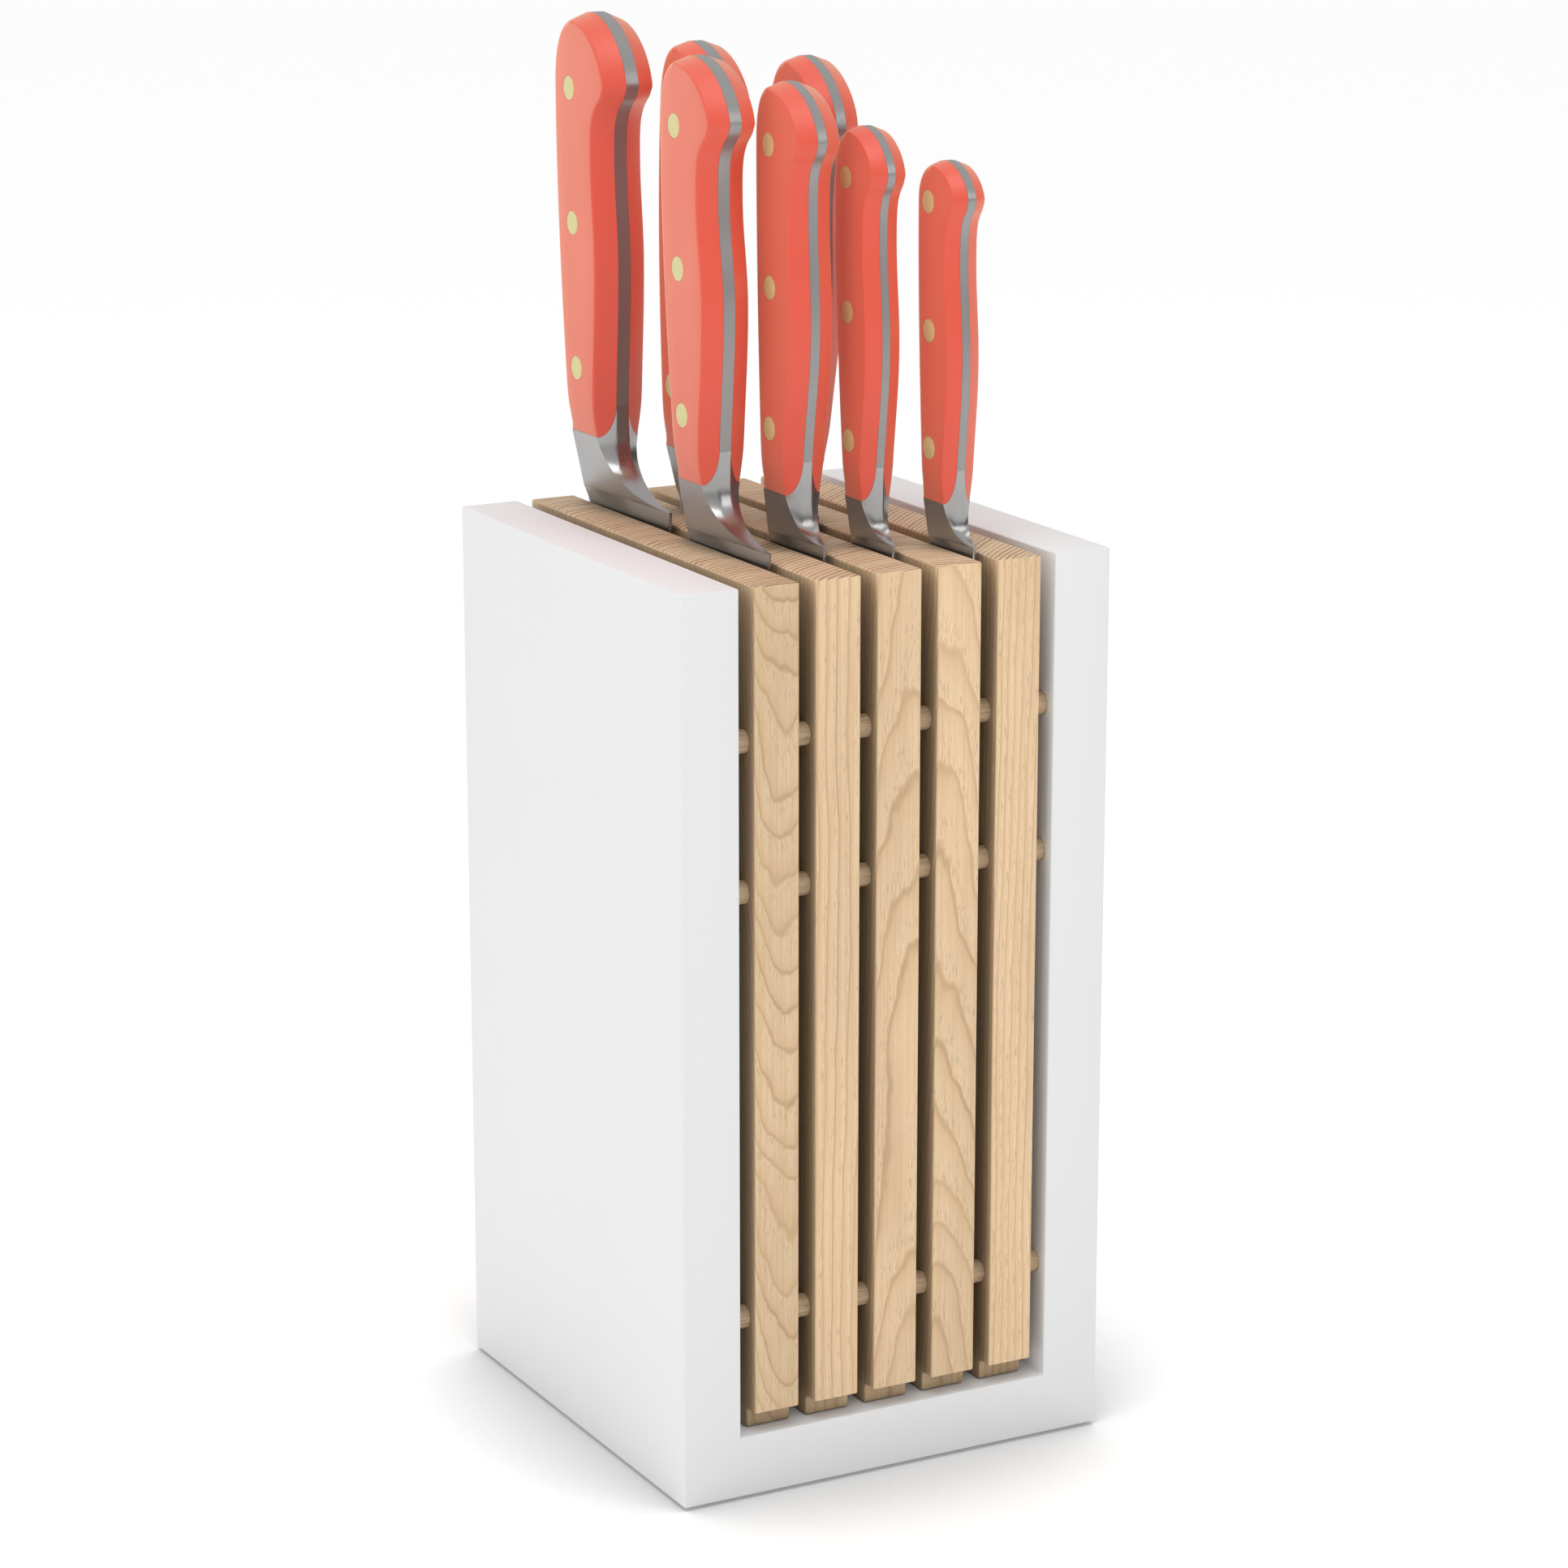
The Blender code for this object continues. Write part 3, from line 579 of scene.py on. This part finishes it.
def rod_bores(clearance):
    """A cutter with a bore for each rod, a little longer than the rods."""
    cutter = bmesh.new()
    for name in ROD_NAMES:
        low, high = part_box(name)
        add_rod(cutter, ROD_RADIUS + clearance, (low + high) / 2,
                (high.x - low.x) / 2 + clearance)
    return cutter


def make_housing():
    """The two side panels and the base as one lacquered U, with no joint to be seen."""
    left_low, left_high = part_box("left_panel")
    right_low, right_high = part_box("right_panel")
    base_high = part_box("base_panel")[1]
    outline = [(left_low.x, left_low.z), (right_high.x, left_low.z),
               (right_high.x, right_high.z), (right_low.x, right_high.z),
               (right_low.x, base_high.z), (left_high.x, base_high.z),
               (left_high.x, left_high.z), (left_low.x, left_high.z)]
    builder = extrude_outline(outline, 1, left_low.y, left_high.y)
    soften(builder, PANEL_EDGE)
    cutter = rod_bores(ROD_CLEARANCE)
    for name in FEET:
        low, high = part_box(name)
        size = high - low + Vector((1, 1, 1)) * FOOT_CLEARANCE
        place = Matrix.Translation((low + high) / 2) @ Matrix.Diagonal((*size, 1))
        bmesh.ops.create_cube(cutter, size=1, matrix=place)
    builder = carve(builder, cutter)
    finish_piece("housing", builder, [lacquer_material()], "block",
                 ["left_panel", "right_panel", "base_panel"])


def slat_outline(low, high):
    """Side view of a slat: a rebate with a rounded corner at the foot, front and back."""
    lip = low.z + REBATE_HEIGHT
    outline = []
    for side, face in ((1, low.y), (-1, high.y)):
        foot = face + side * REBATE_DEPTH
        centre = foot - side * REBATE_ROUND
        corner = [(face, high.z), (face, lip)]
        for step in range(REBATE_STEPS + 1):
            angle = math.pi / 2 * (1 - step / REBATE_STEPS)
            corner.append((centre + side * REBATE_ROUND * math.cos(angle),
                           lip - REBATE_ROUND + REBATE_ROUND * math.sin(angle)))
        corner.append((foot, low.z))
        outline += corner if side == 1 else corner[::-1]
    return outline


def make_slats():
    """Five ash slats, bored for the rods."""
    for name in GROWTH:
        low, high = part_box(name)
        builder = extrude_outline(slat_outline(low, high), 0, low.x, high.x)
        soften(builder, SLAT_EDGE)
        builder = carve(builder, rod_bores(ROD_CLEARANCE))
        finish_piece(name + "_ash", builder, [ash_material(name)], "block", [name])


def make_rods():
    """Dowels with eased ends."""
    material = dowel_material()
    for name in ROD_NAMES:
        low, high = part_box(name)
        builder = bmesh.new()
        add_rod(builder, ROD_RADIUS, (low + high) / 2, (high.x - low.x) / 2)
        soften(builder, ROD_EDGE, segments=2)
        finish_piece(name + "_turned", builder, [material], "block", [name])


def dress_feet():
    """The feet keep their CAD shape, with eased edges."""
    material = rubber_material()
    for name in FEET:
        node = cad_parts[name]
        node.data.materials.clear()
        node.data.materials.append(material)
        bevel = node.modifiers.new("eased_edges", "BEVEL")
        bevel.width = FOOT_EDGE
        bevel.segments = 2


# ---- Knife outline -------------------------------------------------------------------
def ease(start, end, part):
    """Blend with level ends, for a curve between two extremes."""
    return start + (end - start) * (1 - math.cos(math.pi * part)) / 2


def spread(start, end, count):
    """Evenly spaced values, both ends included."""
    return [start + (end - start) * i / (count - 1) for i in range(count)]


class Knife:
    """Curves of one knife in its own frame, in metres."""

    def __init__(self, spec):
        self.end = spec["end"] * MM
        self.butt = (spec["butt"] - CROWN_TRIM) * MM
        self.length = self.butt - self.end
        self.half = spec["half"] * MM
        self.tang = spec["tang"] * MM
        self.slope = spec["slope"] * MM
        self.belly = [value * MM for value in spec["belly"]]
        self.beak_y, self.beak_z = (value * MM for value in spec["beak"])
        self.waist = self.beak_z - WAIST_DROP * self.length
        self.crown = spec["crown"] * MM
        self.back = [value * MM for value in spec["back"]]
        self.heel = spec["heel"] * MM
        self.blade_length, self.width, self.spine_half = (v * MM for v in spec["blade"])
        self.spine_slope, self.tip_drop = (value * MM for value in spec["spine"])
        self.tip = spec["tip"]

    def sharp_front_y(self, z):
        """Front of the tang, with a pointed beak."""
        grip = self.end + GRIP_PLACE * self.length
        at_end, at_grip, at_waist = self.belly
        if z < grip:
            return ease(at_end, at_grip, max(z - self.end, 0) / (grip - self.end))
        if z < self.waist:
            return ease(at_grip, at_waist, (z - grip) / (self.waist - grip))
        if z < self.beak_z:
            part = (z - self.waist) / (self.beak_z - self.waist)
            return at_waist - (at_waist - self.beak_y) * part ** HOOK_POWER
        part = min((z - self.beak_z) / (self.butt - self.beak_z), 1)
        fall = (1 - part ** CROWN_FRONT) ** (1 / CROWN_FRONT)
        return self.crown - (self.crown - self.beak_y) * fall

    def front_y(self, z):
        """Front of the tang, from the bolster's end to the butt, with a rounded beak."""
        reach = BEAK_SOFTNESS * max(1 - abs(z - self.beak_z) / (3 * BEAK_SOFTNESS), 0)
        samples = [self.sharp_front_y(z + reach * part) for part in (-1, -0.5, 0, 0.5, 1)]
        return sum(samples) / len(samples)

    def back_y(self, z):
        """Back of the tang, from the bolster's end to the butt."""
        at_end, widest = self.back
        if z < self.beak_z:
            part = max(z - self.end, 0) / (self.beak_z - self.end)
            return at_end + (widest - at_end) * math.sin(math.pi / 2 * part)
        part = min((z - self.beak_z) / (self.butt - self.beak_z), 1)
        fall = (1 - part ** CROWN_BACK) ** (1 / CROWN_BACK)
        return self.crown + (widest - self.crown) * fall

    def crown_part(self, z):
        """How far up the crown a height lies: 0 at the beak, 1 at the butt."""
        return min(max(z - self.beak_z, 0) / (self.butt - self.beak_z), 1)

    def front_inset(self, z):
        """How far the flat's front lies behind the tang's."""
        fall = (1 - self.crown_part(z) ** CROWN_FRONT) ** (1 / CROWN_FRONT)
        at_top = (self.slope - BACK_CHAMFER) / 2
        return at_top + (self.slope - at_top) * fall

    def back_inset(self, z):
        """How far the flat's back lies before the tang's."""
        fall = (1 - self.crown_part(z) ** CROWN_BACK) ** (1 / CROWN_BACK)
        at_top = (self.slope - BACK_CHAMFER) / 2
        return (at_top + BACK_CHAMFER) * fall - at_top

    def flat_z(self, z):
        """Height on the grip's flat that belongs to height z on the tang's outline."""
        if z <= self.beak_z:
            return z
        inset = CROWN_INSET * self.slope / (self.butt - self.beak_z)
        return z - (z - self.beak_z) * inset

    def thickness(self, z):
        """Half thickness of the grips, which grow thinner towards the bolster."""
        taper = SCALE_TAPER * self.length
        part = min(max(z - self.end, 0) / taper, 1)
        thin = END_THICKNESS * self.half
        return thin + (self.half - thin) * math.sin(math.pi / 2 * part)

    def junction(self, z):
        """How far the bolster has spread over the belly at height z: 0 none, 1 all of it."""
        part = min(max((self.end + JUNCTION - z) / JUNCTION, 0), 1)
        return 1 - math.sqrt(1 - part ** 2)

    def junction_x(self, z):
        """Half thickness of the steel between the grips, round where they begin."""
        return self.tang + (self.thickness(z) - self.tang) * self.junction(z)

    def slope_y(self, x, z):
        """Front of the handle beside the tang, where its face slopes to the flat."""
        part = (x - self.tang) / (self.thickness(z) - self.tang)
        return self.front_y(z) + self.front_inset(z) * part

    def flat_front(self, z):
        """Front of the grip's flat: y and z."""
        return self.front_y(z) + self.front_inset(z), self.flat_z(z)

    def flat_back(self, z):
        """Back of the grip's flat: y and z."""
        return self.back_y(z) - self.back_inset(z), self.flat_z(z)

    def spine_y(self, s):
        """Spine of the blade, s running from 0 at the slats' top to 1 at the tip."""
        return self.width - self.spine_slope * s - self.tip_drop * s ** 3

    def edge_y(self, s):
        """Cutting edge of the blade, likewise."""
        n, m = self.tip
        return self.spine_y(s) - self.width * (1 - s ** n) ** (1 / m)


# ---- Knife pieces --------------------------------------------------------------------

def mirror_ring(half_ring, z):
    """A closed ring from its left half, whose first and last points are in the middle."""
    left = [(-x, y, z) for x, y in half_ring]
    right = [(x, y, z) for x, y in reversed(half_ring[1:-1])]
    return left + right


def front_row(middle, edge, half, flat, cove):
    """Points across half of a front, flat and then sloping (cove 0) or all hollow (cove 1)."""
    flat = min(flat + (half / 2 - flat) * cove, 0.9 * half)
    row = []
    for part in FRONT_POINTS:
        x = 2 * flat * part if part <= 0.5 else flat + (half - flat) * (2 * part - 1)
        sloping = max(x - flat, 0) / (half - flat)
        hollow = (x / half) ** 2
        row.append((x, middle + (edge - middle) * (sloping + (hollow - sloping) * cove)))
    return row


def tang_ring(knife, z):
    """Tang, as wide as the grips leave it, and wider towards the bolster."""
    half = knife.junction_x(z)
    edge = knife.slope_y(half, z)
    back = knife.back_y(z)
    slant = knife.back_inset(z) * (half - knife.tang) / (knife.thickness(z) - knife.tang)
    span = back - slant - edge
    points = front_row(knife.front_y(z), edge, half, knife.tang, 0)
    points += [(half, edge + span * part) for part in SIDE_POINTS]
    return mirror_ring(points + [(min(half, knife.tang), back), (0, back)], z)


def wedge_side(front, side, edge, span):
    """Points from an edge of half width front to a back of half width side."""
    return [(front + (side - front) * part ** WEDGE_POWER, edge + span * part)
            for part in SIDE_POINTS]


def bolster_ring(knife, turn):
    """The bolster's front is a quarter ellipse from the grips (0) down to the heel (1)."""
    angle = math.pi / 2 * turn
    corner = knife.front_y(knife.end) + knife.slope
    edge = corner * math.cos(angle)
    z = knife.end - (knife.end - knife.heel) * math.sin(angle)
    rise = z / knife.end
    full = knife.thickness(knife.end)
    side = SHOULDER_HALF + (full - SHOULDER_HALF) * rise
    front = HEEL_HALF + (full - HEEL_HALF) * (1 - turn)
    if turn < COVE_END:
        hollow = ease(-knife.slope, COVE_DEPTH, turn / COVE_END)
    else:
        hollow = ease(COVE_DEPTH, COVE_HEEL, (turn - COVE_END) / (1 - COVE_END))
    back = knife.width + (knife.back_y(knife.end) - knife.width) * rise
    span = back - BACK_CHAMFER - edge
    cove = ease(0, 1, min(turn / COVE_END, 1))
    points = front_row(edge + hollow, edge, front, knife.tang, cove)
    points += wedge_side(front, side, edge, span)
    return mirror_ring(points + [(side * SPINE_FLAT, back), (0, back)], z)


def blade_ring(knife, z):
    """Wedge section of the blade; just under the slats' top it still swells to the bolster."""
    s = max(-z, 0) / knife.blade_length
    swell = max(1 + z / BLADE_SHOULDER, 0)
    side = knife.spine_half * (1 - SPINE_TAPER * s)
    side += (SHOULDER_HALF - knife.spine_half) * swell
    front = EDGE_HALF + (HEEL_HALF - EDGE_HALF) * swell
    edge = knife.edge_y(s)
    spine = knife.spine_y(s)
    span = (spine - edge) * WEDGE_END
    points = [(front * part, edge + span * EDGE_ROUND * part) for part in FRONT_POINTS]
    points += wedge_side(front, side, edge, span)
    return mirror_ring(points + [(side * SPINE_FLAT, spine), (0, spine)], z)


def junction_levels(knife):
    """Heights of the rings where the bolster runs up between the grips."""
    return [knife.end + JUNCTION * part for part in JUNCTION_POINTS]


def handle_levels(knife):
    """Heights of the rings along the grips, above the bolster's root."""
    hook_start = knife.beak_z - HOOK_SPAN * knife.length
    grip = spread(knife.end + JUNCTION, hook_start, GRIP_RINGS)[1:]
    hook = spread(hook_start, knife.beak_z, HOOK_RINGS)[1:]
    rise = knife.butt - knife.beak_z
    crown = [knife.beak_z + rise * math.sin(math.radians(angle))
             for angle in spread(5, CROWN_REACH, CROWN_RINGS)]
    return grip + hook + crown


def loft(rings):
    """A closed skin through rings of equal length, with a flat cap at each end."""
    builder = bmesh.new()
    loops = [[builder.verts.new(point) for point in ring] for ring in rings]
    for lower, upper in zip(loops, loops[1:]):
        for i in range(len(lower)):
            j = (i + 1) % len(lower)
            builder.faces.new((lower[i], lower[j], upper[j], upper[i]))
    builder.faces.new(loops[0])
    builder.faces.new(loops[-1])
    bmesh.ops.recalc_face_normals(builder, faces=builder.faces)
    return builder


def forging(knife):
    """Blade, bolster and full tang in one piece; the polished front has its own material."""
    drops = [knife.blade_length * math.cos(math.radians(angle))
             for angle in spread(4, 86, BLADE_RINGS)]
    rings = [blade_ring(knife, -drop) for drop in drops if drop > BLADE_SHOULDER * 1.1]
    rings += [blade_ring(knife, -BLADE_SHOULDER * part) for part in spread(1, 0, SHOULDER_RINGS)]
    rings += [bolster_ring(knife, turn) for turn in spread(1, 0, BOLSTER_RINGS)]
    rings += [tang_ring(knife, z) for z in junction_levels(knife) + handle_levels(knife)]
    builder = loft(rings)
    builder.faces.ensure_lookup_table()
    for face in builder.faces:
        middle = face.calc_center_median()
        if middle.z < 0:
            face.material_index = GROUND
        elif middle.z > knife.end + JUNCTION:
            face.material_index = BRUSHED
        elif face.normal.y < -FACES_FRONT or face.normal.z > FACES_UP:
            face.material_index = POLISHED
        else:
            face.material_index = SATIN
    return builder


def bend(first, corner, last):
    """Points of a rounded corner, ends included."""
    return [first * (1 - t) ** 2 + corner * 2 * t * (1 - t) + last * t ** 2
            for t in spread(0, 1, CORNER_STEPS)]


def inward(curve, z):
    """Unit vector into the flat from its outline, at the outline's height z."""
    step = 0.05 * MM
    below = Vector(curve(z - step))
    above = Vector(curve(z))
    along = (above - below).normalized()
    return Vector((along.y, -along.x))


def grip_corner(start, corner, into, size):
    """Rounded corner between the slope that comes up from start and the grip's flat."""
    down_slope = (start - corner).normalized() * size
    return bend(corner + down_slope, corner, corner + Vector((0, into.x, into.y)) * size)


def scale_ring(knife, side, z):
    """One grip, from the steel over its front slope, its flat and its rounded back."""
    outer = knife.thickness(z)
    inner = min(knife.junction_x(z) + SEAM, outer - SEAM)
    thick = outer - inner
    front_y, flat_z = knife.flat_front(z)
    back_y = knife.flat_back(z)[0]
    room = (back_y - front_y) / 3

    start = Vector((inner, knife.slope_y(inner, z), z))
    corner = Vector((outer, front_y, flat_z))
    size = min(FRONT_ROUND, 0.45 * thick, room)
    points = [start, start.lerp(corner, 0.4)]
    points += grip_corner(start, corner, inward(knife.flat_front, z), size)

    slant = knife.back_inset(z) * (inner - knife.tang) / (outer - knife.tang)
    start = Vector((inner, knife.back_y(z) - slant, z))
    corner = Vector((outer, back_y, flat_z))
    size = min(BACK_ROUND, 0.6 * thick, room)
    rounded = grip_corner(start, corner, -inward(knife.flat_back, z), size)
    back = [start, start.lerp(rounded[0], 0.5), *rounded]
    first, last = points[-1], back[-1]
    points += [first.lerp(last, part) for part in (0.25, 0.5, 0.75)]
    points += back[::-1]
    return [(side * point.x, point.y, point.z) for point in points]


def make_knife(name, spec, finishes):
    """Forging, two grips and three rivets, in the knife's own frame."""
    knife = Knife(spec)
    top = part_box("left_panel")[1].z
    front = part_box("left_panel")[0].y
    low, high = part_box(name + "_blade_and_tang")
    place = Matrix.Translation(((low.x + high.x) / 2, front + spec["reach"] * MM, top))
    place = place @ Matrix.Rotation(math.radians(spec["lean"]), 4, "X")
    to_knife = place.inverted()

    heads = []
    for number in (1, 2, 3):
        low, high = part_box("%s_rivet_%d" % (name, number))
        centre = to_knife @ ((low + high) / 2)
        heads.append((centre, (high.z - low.z) / 2))

    def bores():
        cutter = bmesh.new()
        for centre, radius in heads:
            add_rod(cutter, radius + SEAM, centre, knife.half * 1.3)
        return cutter

    def put(part_name, builder, materials, replaced):
        builder.transform(place)
        piece = finish_piece(part_name, builder, materials, name, [replaced])
        piece.data.transform(to_knife)
        piece.matrix_world = place
        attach(piece, name)
        return piece

    steel = [finishes[finish] for finish in STEEL_FINISHES]
    put(name + "_forging", forging(knife), steel, name + "_blade_and_tang")
    levels = [knife.end + SEAM] + junction_levels(knife)[1:] + handle_levels(knife)
    for side_name, side in (("left", -1), ("right", 1)):
        grip = carve(loft([scale_ring(knife, side, z) for z in levels]), bores())
        put("%s_%s_grip" % (name, side_name), grip, [finishes["coral"]],
            "%s_%s_scale" % (name, side_name))
    for number, (centre, radius) in enumerate(heads, 1):
        pin = bmesh.new()
        add_rod(pin, radius, centre, knife.thickness(centre.z) + PIN_PROUD)
        soften(pin, PIN_EDGE, segments=2)
        put("%s_pin_%d" % (name, number), pin, [finishes["brass"]],
            "%s_rivet_%d" % (name, number))


# ---- Stage ---------------------------------------------------------------------------
def make_floor():
    """A pale floor that glows a little, with a painted contact shadow that darkens its colour and
    glow near the block.
    """
    builder = bmesh.new()
    bmesh.ops.create_grid(builder, x_segments=1, y_segments=1, size=FLOOR_SIZE)
    mesh = bpy.data.meshes.new("floor")
    builder.to_mesh(mesh)
    builder.free()
    floor = bpy.data.objects.new("floor", mesh)
    bpy.context.scene.collection.objects.link(floor)
    material, sketch, shader = new_material("pale_floor")
    # Painted contact shadow: ambient occlusion darkens the floor's colour and its glow near the
    # block.
    shelter = sketch.add("AmbientOcclusion", {"Distance": PAINTED_SHADOW_REACH}, samples=12)
    open_part = sketch.span(shelter.outputs["AO"], 0.35, 1.0)
    sketch.feed(shader.inputs["Base Color"],
                sketch.mix(open_part, shaded(FLOOR, PAINTED_SHADOW_BRIGHTNESS), FLOOR))
    sketch.feed(shader.inputs["Emission Color"],
                sketch.mix(open_part, shaded(FLOOR, PAINTED_SHADOW_GLOW), FLOOR))
    shader.inputs["Emission Strength"].default_value = FLOOR_GLOW
    shader.inputs["Roughness"].default_value = 0.9
    shader.inputs["Specular IOR Level"].default_value = 0.0
    mesh.materials.append(material)


def area_light(name, place, target, size, power):
    """A softbox that points at its target."""
    light = bpy.data.lights.new(name, "AREA")
    light.shape = "RECTANGLE"
    light.size, light.size_y = size
    light.energy = power
    lamp = bpy.data.objects.new(name, light)
    lamp.location = place
    direction = Vector(target) - Vector(place)
    lamp.rotation_euler = direction.to_track_quat("-Z", "Y").to_euler()
    bpy.context.scene.collection.objects.link(lamp)


def make_world():
    """A white studio: bright overhead and to the left and behind, dim to the right."""
    world = bpy.data.worlds.new("studio")
    world.use_nodes = True
    bpy.context.scene.world = world
    sketch = Sketch(world.node_tree)
    direction = sketch.add("TexCoord").outputs["Generated"]
    parts = sketch.add("SeparateXYZ", {0: direction})
    overhead = sketch.span(parts.outputs["Z"], 0.1, 0.7)
    window = sketch.math("ADD", sketch.math("MULTIPLY", parts.outputs["X"], WINDOW_SIDE[0]),
                         sketch.math("MULTIPLY", parts.outputs["Y"], WINDOW_SIDE[1]))
    level = sketch.span(window, -0.7, 0.7, *WALL_LIGHT)
    bright = sketch.math("ADD", sketch.math("MULTIPLY", overhead, CEILING_LIGHT),
                         sketch.math("MULTIPLY", sketch.math("SUBTRACT", 1.0, overhead), level))
    background = world.node_tree.nodes["Background"]
    background.inputs["Color"].default_value = (1, 1, 1, 1)
    sketch.feed(background.inputs["Strength"], bright)


def make_camera():
    """Camera at the height and angle that the block is seen from."""
    azimuth = math.radians(CAMERA_AZIMUTH)
    elevation = math.radians(CAMERA_ELEVATION)
    back = Vector((-math.sin(azimuth) * math.cos(elevation),
                   -math.cos(azimuth) * math.cos(elevation), math.sin(elevation)))
    data = bpy.data.cameras.new("camera")
    data.sensor_width = SENSOR_WIDTH
    data.lens = LENS
    data.clip_start = 0.05
    data.clip_end = 100
    camera = bpy.data.objects.new("camera", data)
    camera.location = Vector(CAMERA_TARGET) + back * CAMERA_DISTANCE
    camera.rotation_euler = (-back).to_track_quat("-Z", "Y").to_euler()
    bpy.context.scene.collection.objects.link(camera)
    bpy.context.scene.camera = camera


make_camera()
make_floor()
make_world()
for softbox_name, softbox in SOFTBOXES.items():
    area_light(softbox_name, **softbox)
bpy.context.scene.view_settings.view_transform = "Standard"
make_housing()
make_slats()
make_rods()
dress_feet()
knife_finishes = {finish: steel_material(finish, **numbers)
                  for finish, numbers in STEEL_FINISHES.items()}
knife_finishes["coral"] = coral_material()
knife_finishes["brass"] = brass_material()
for knife_name, knife_spec in KNIVES.items():
    make_knife(knife_name, knife_spec, knife_finishes)
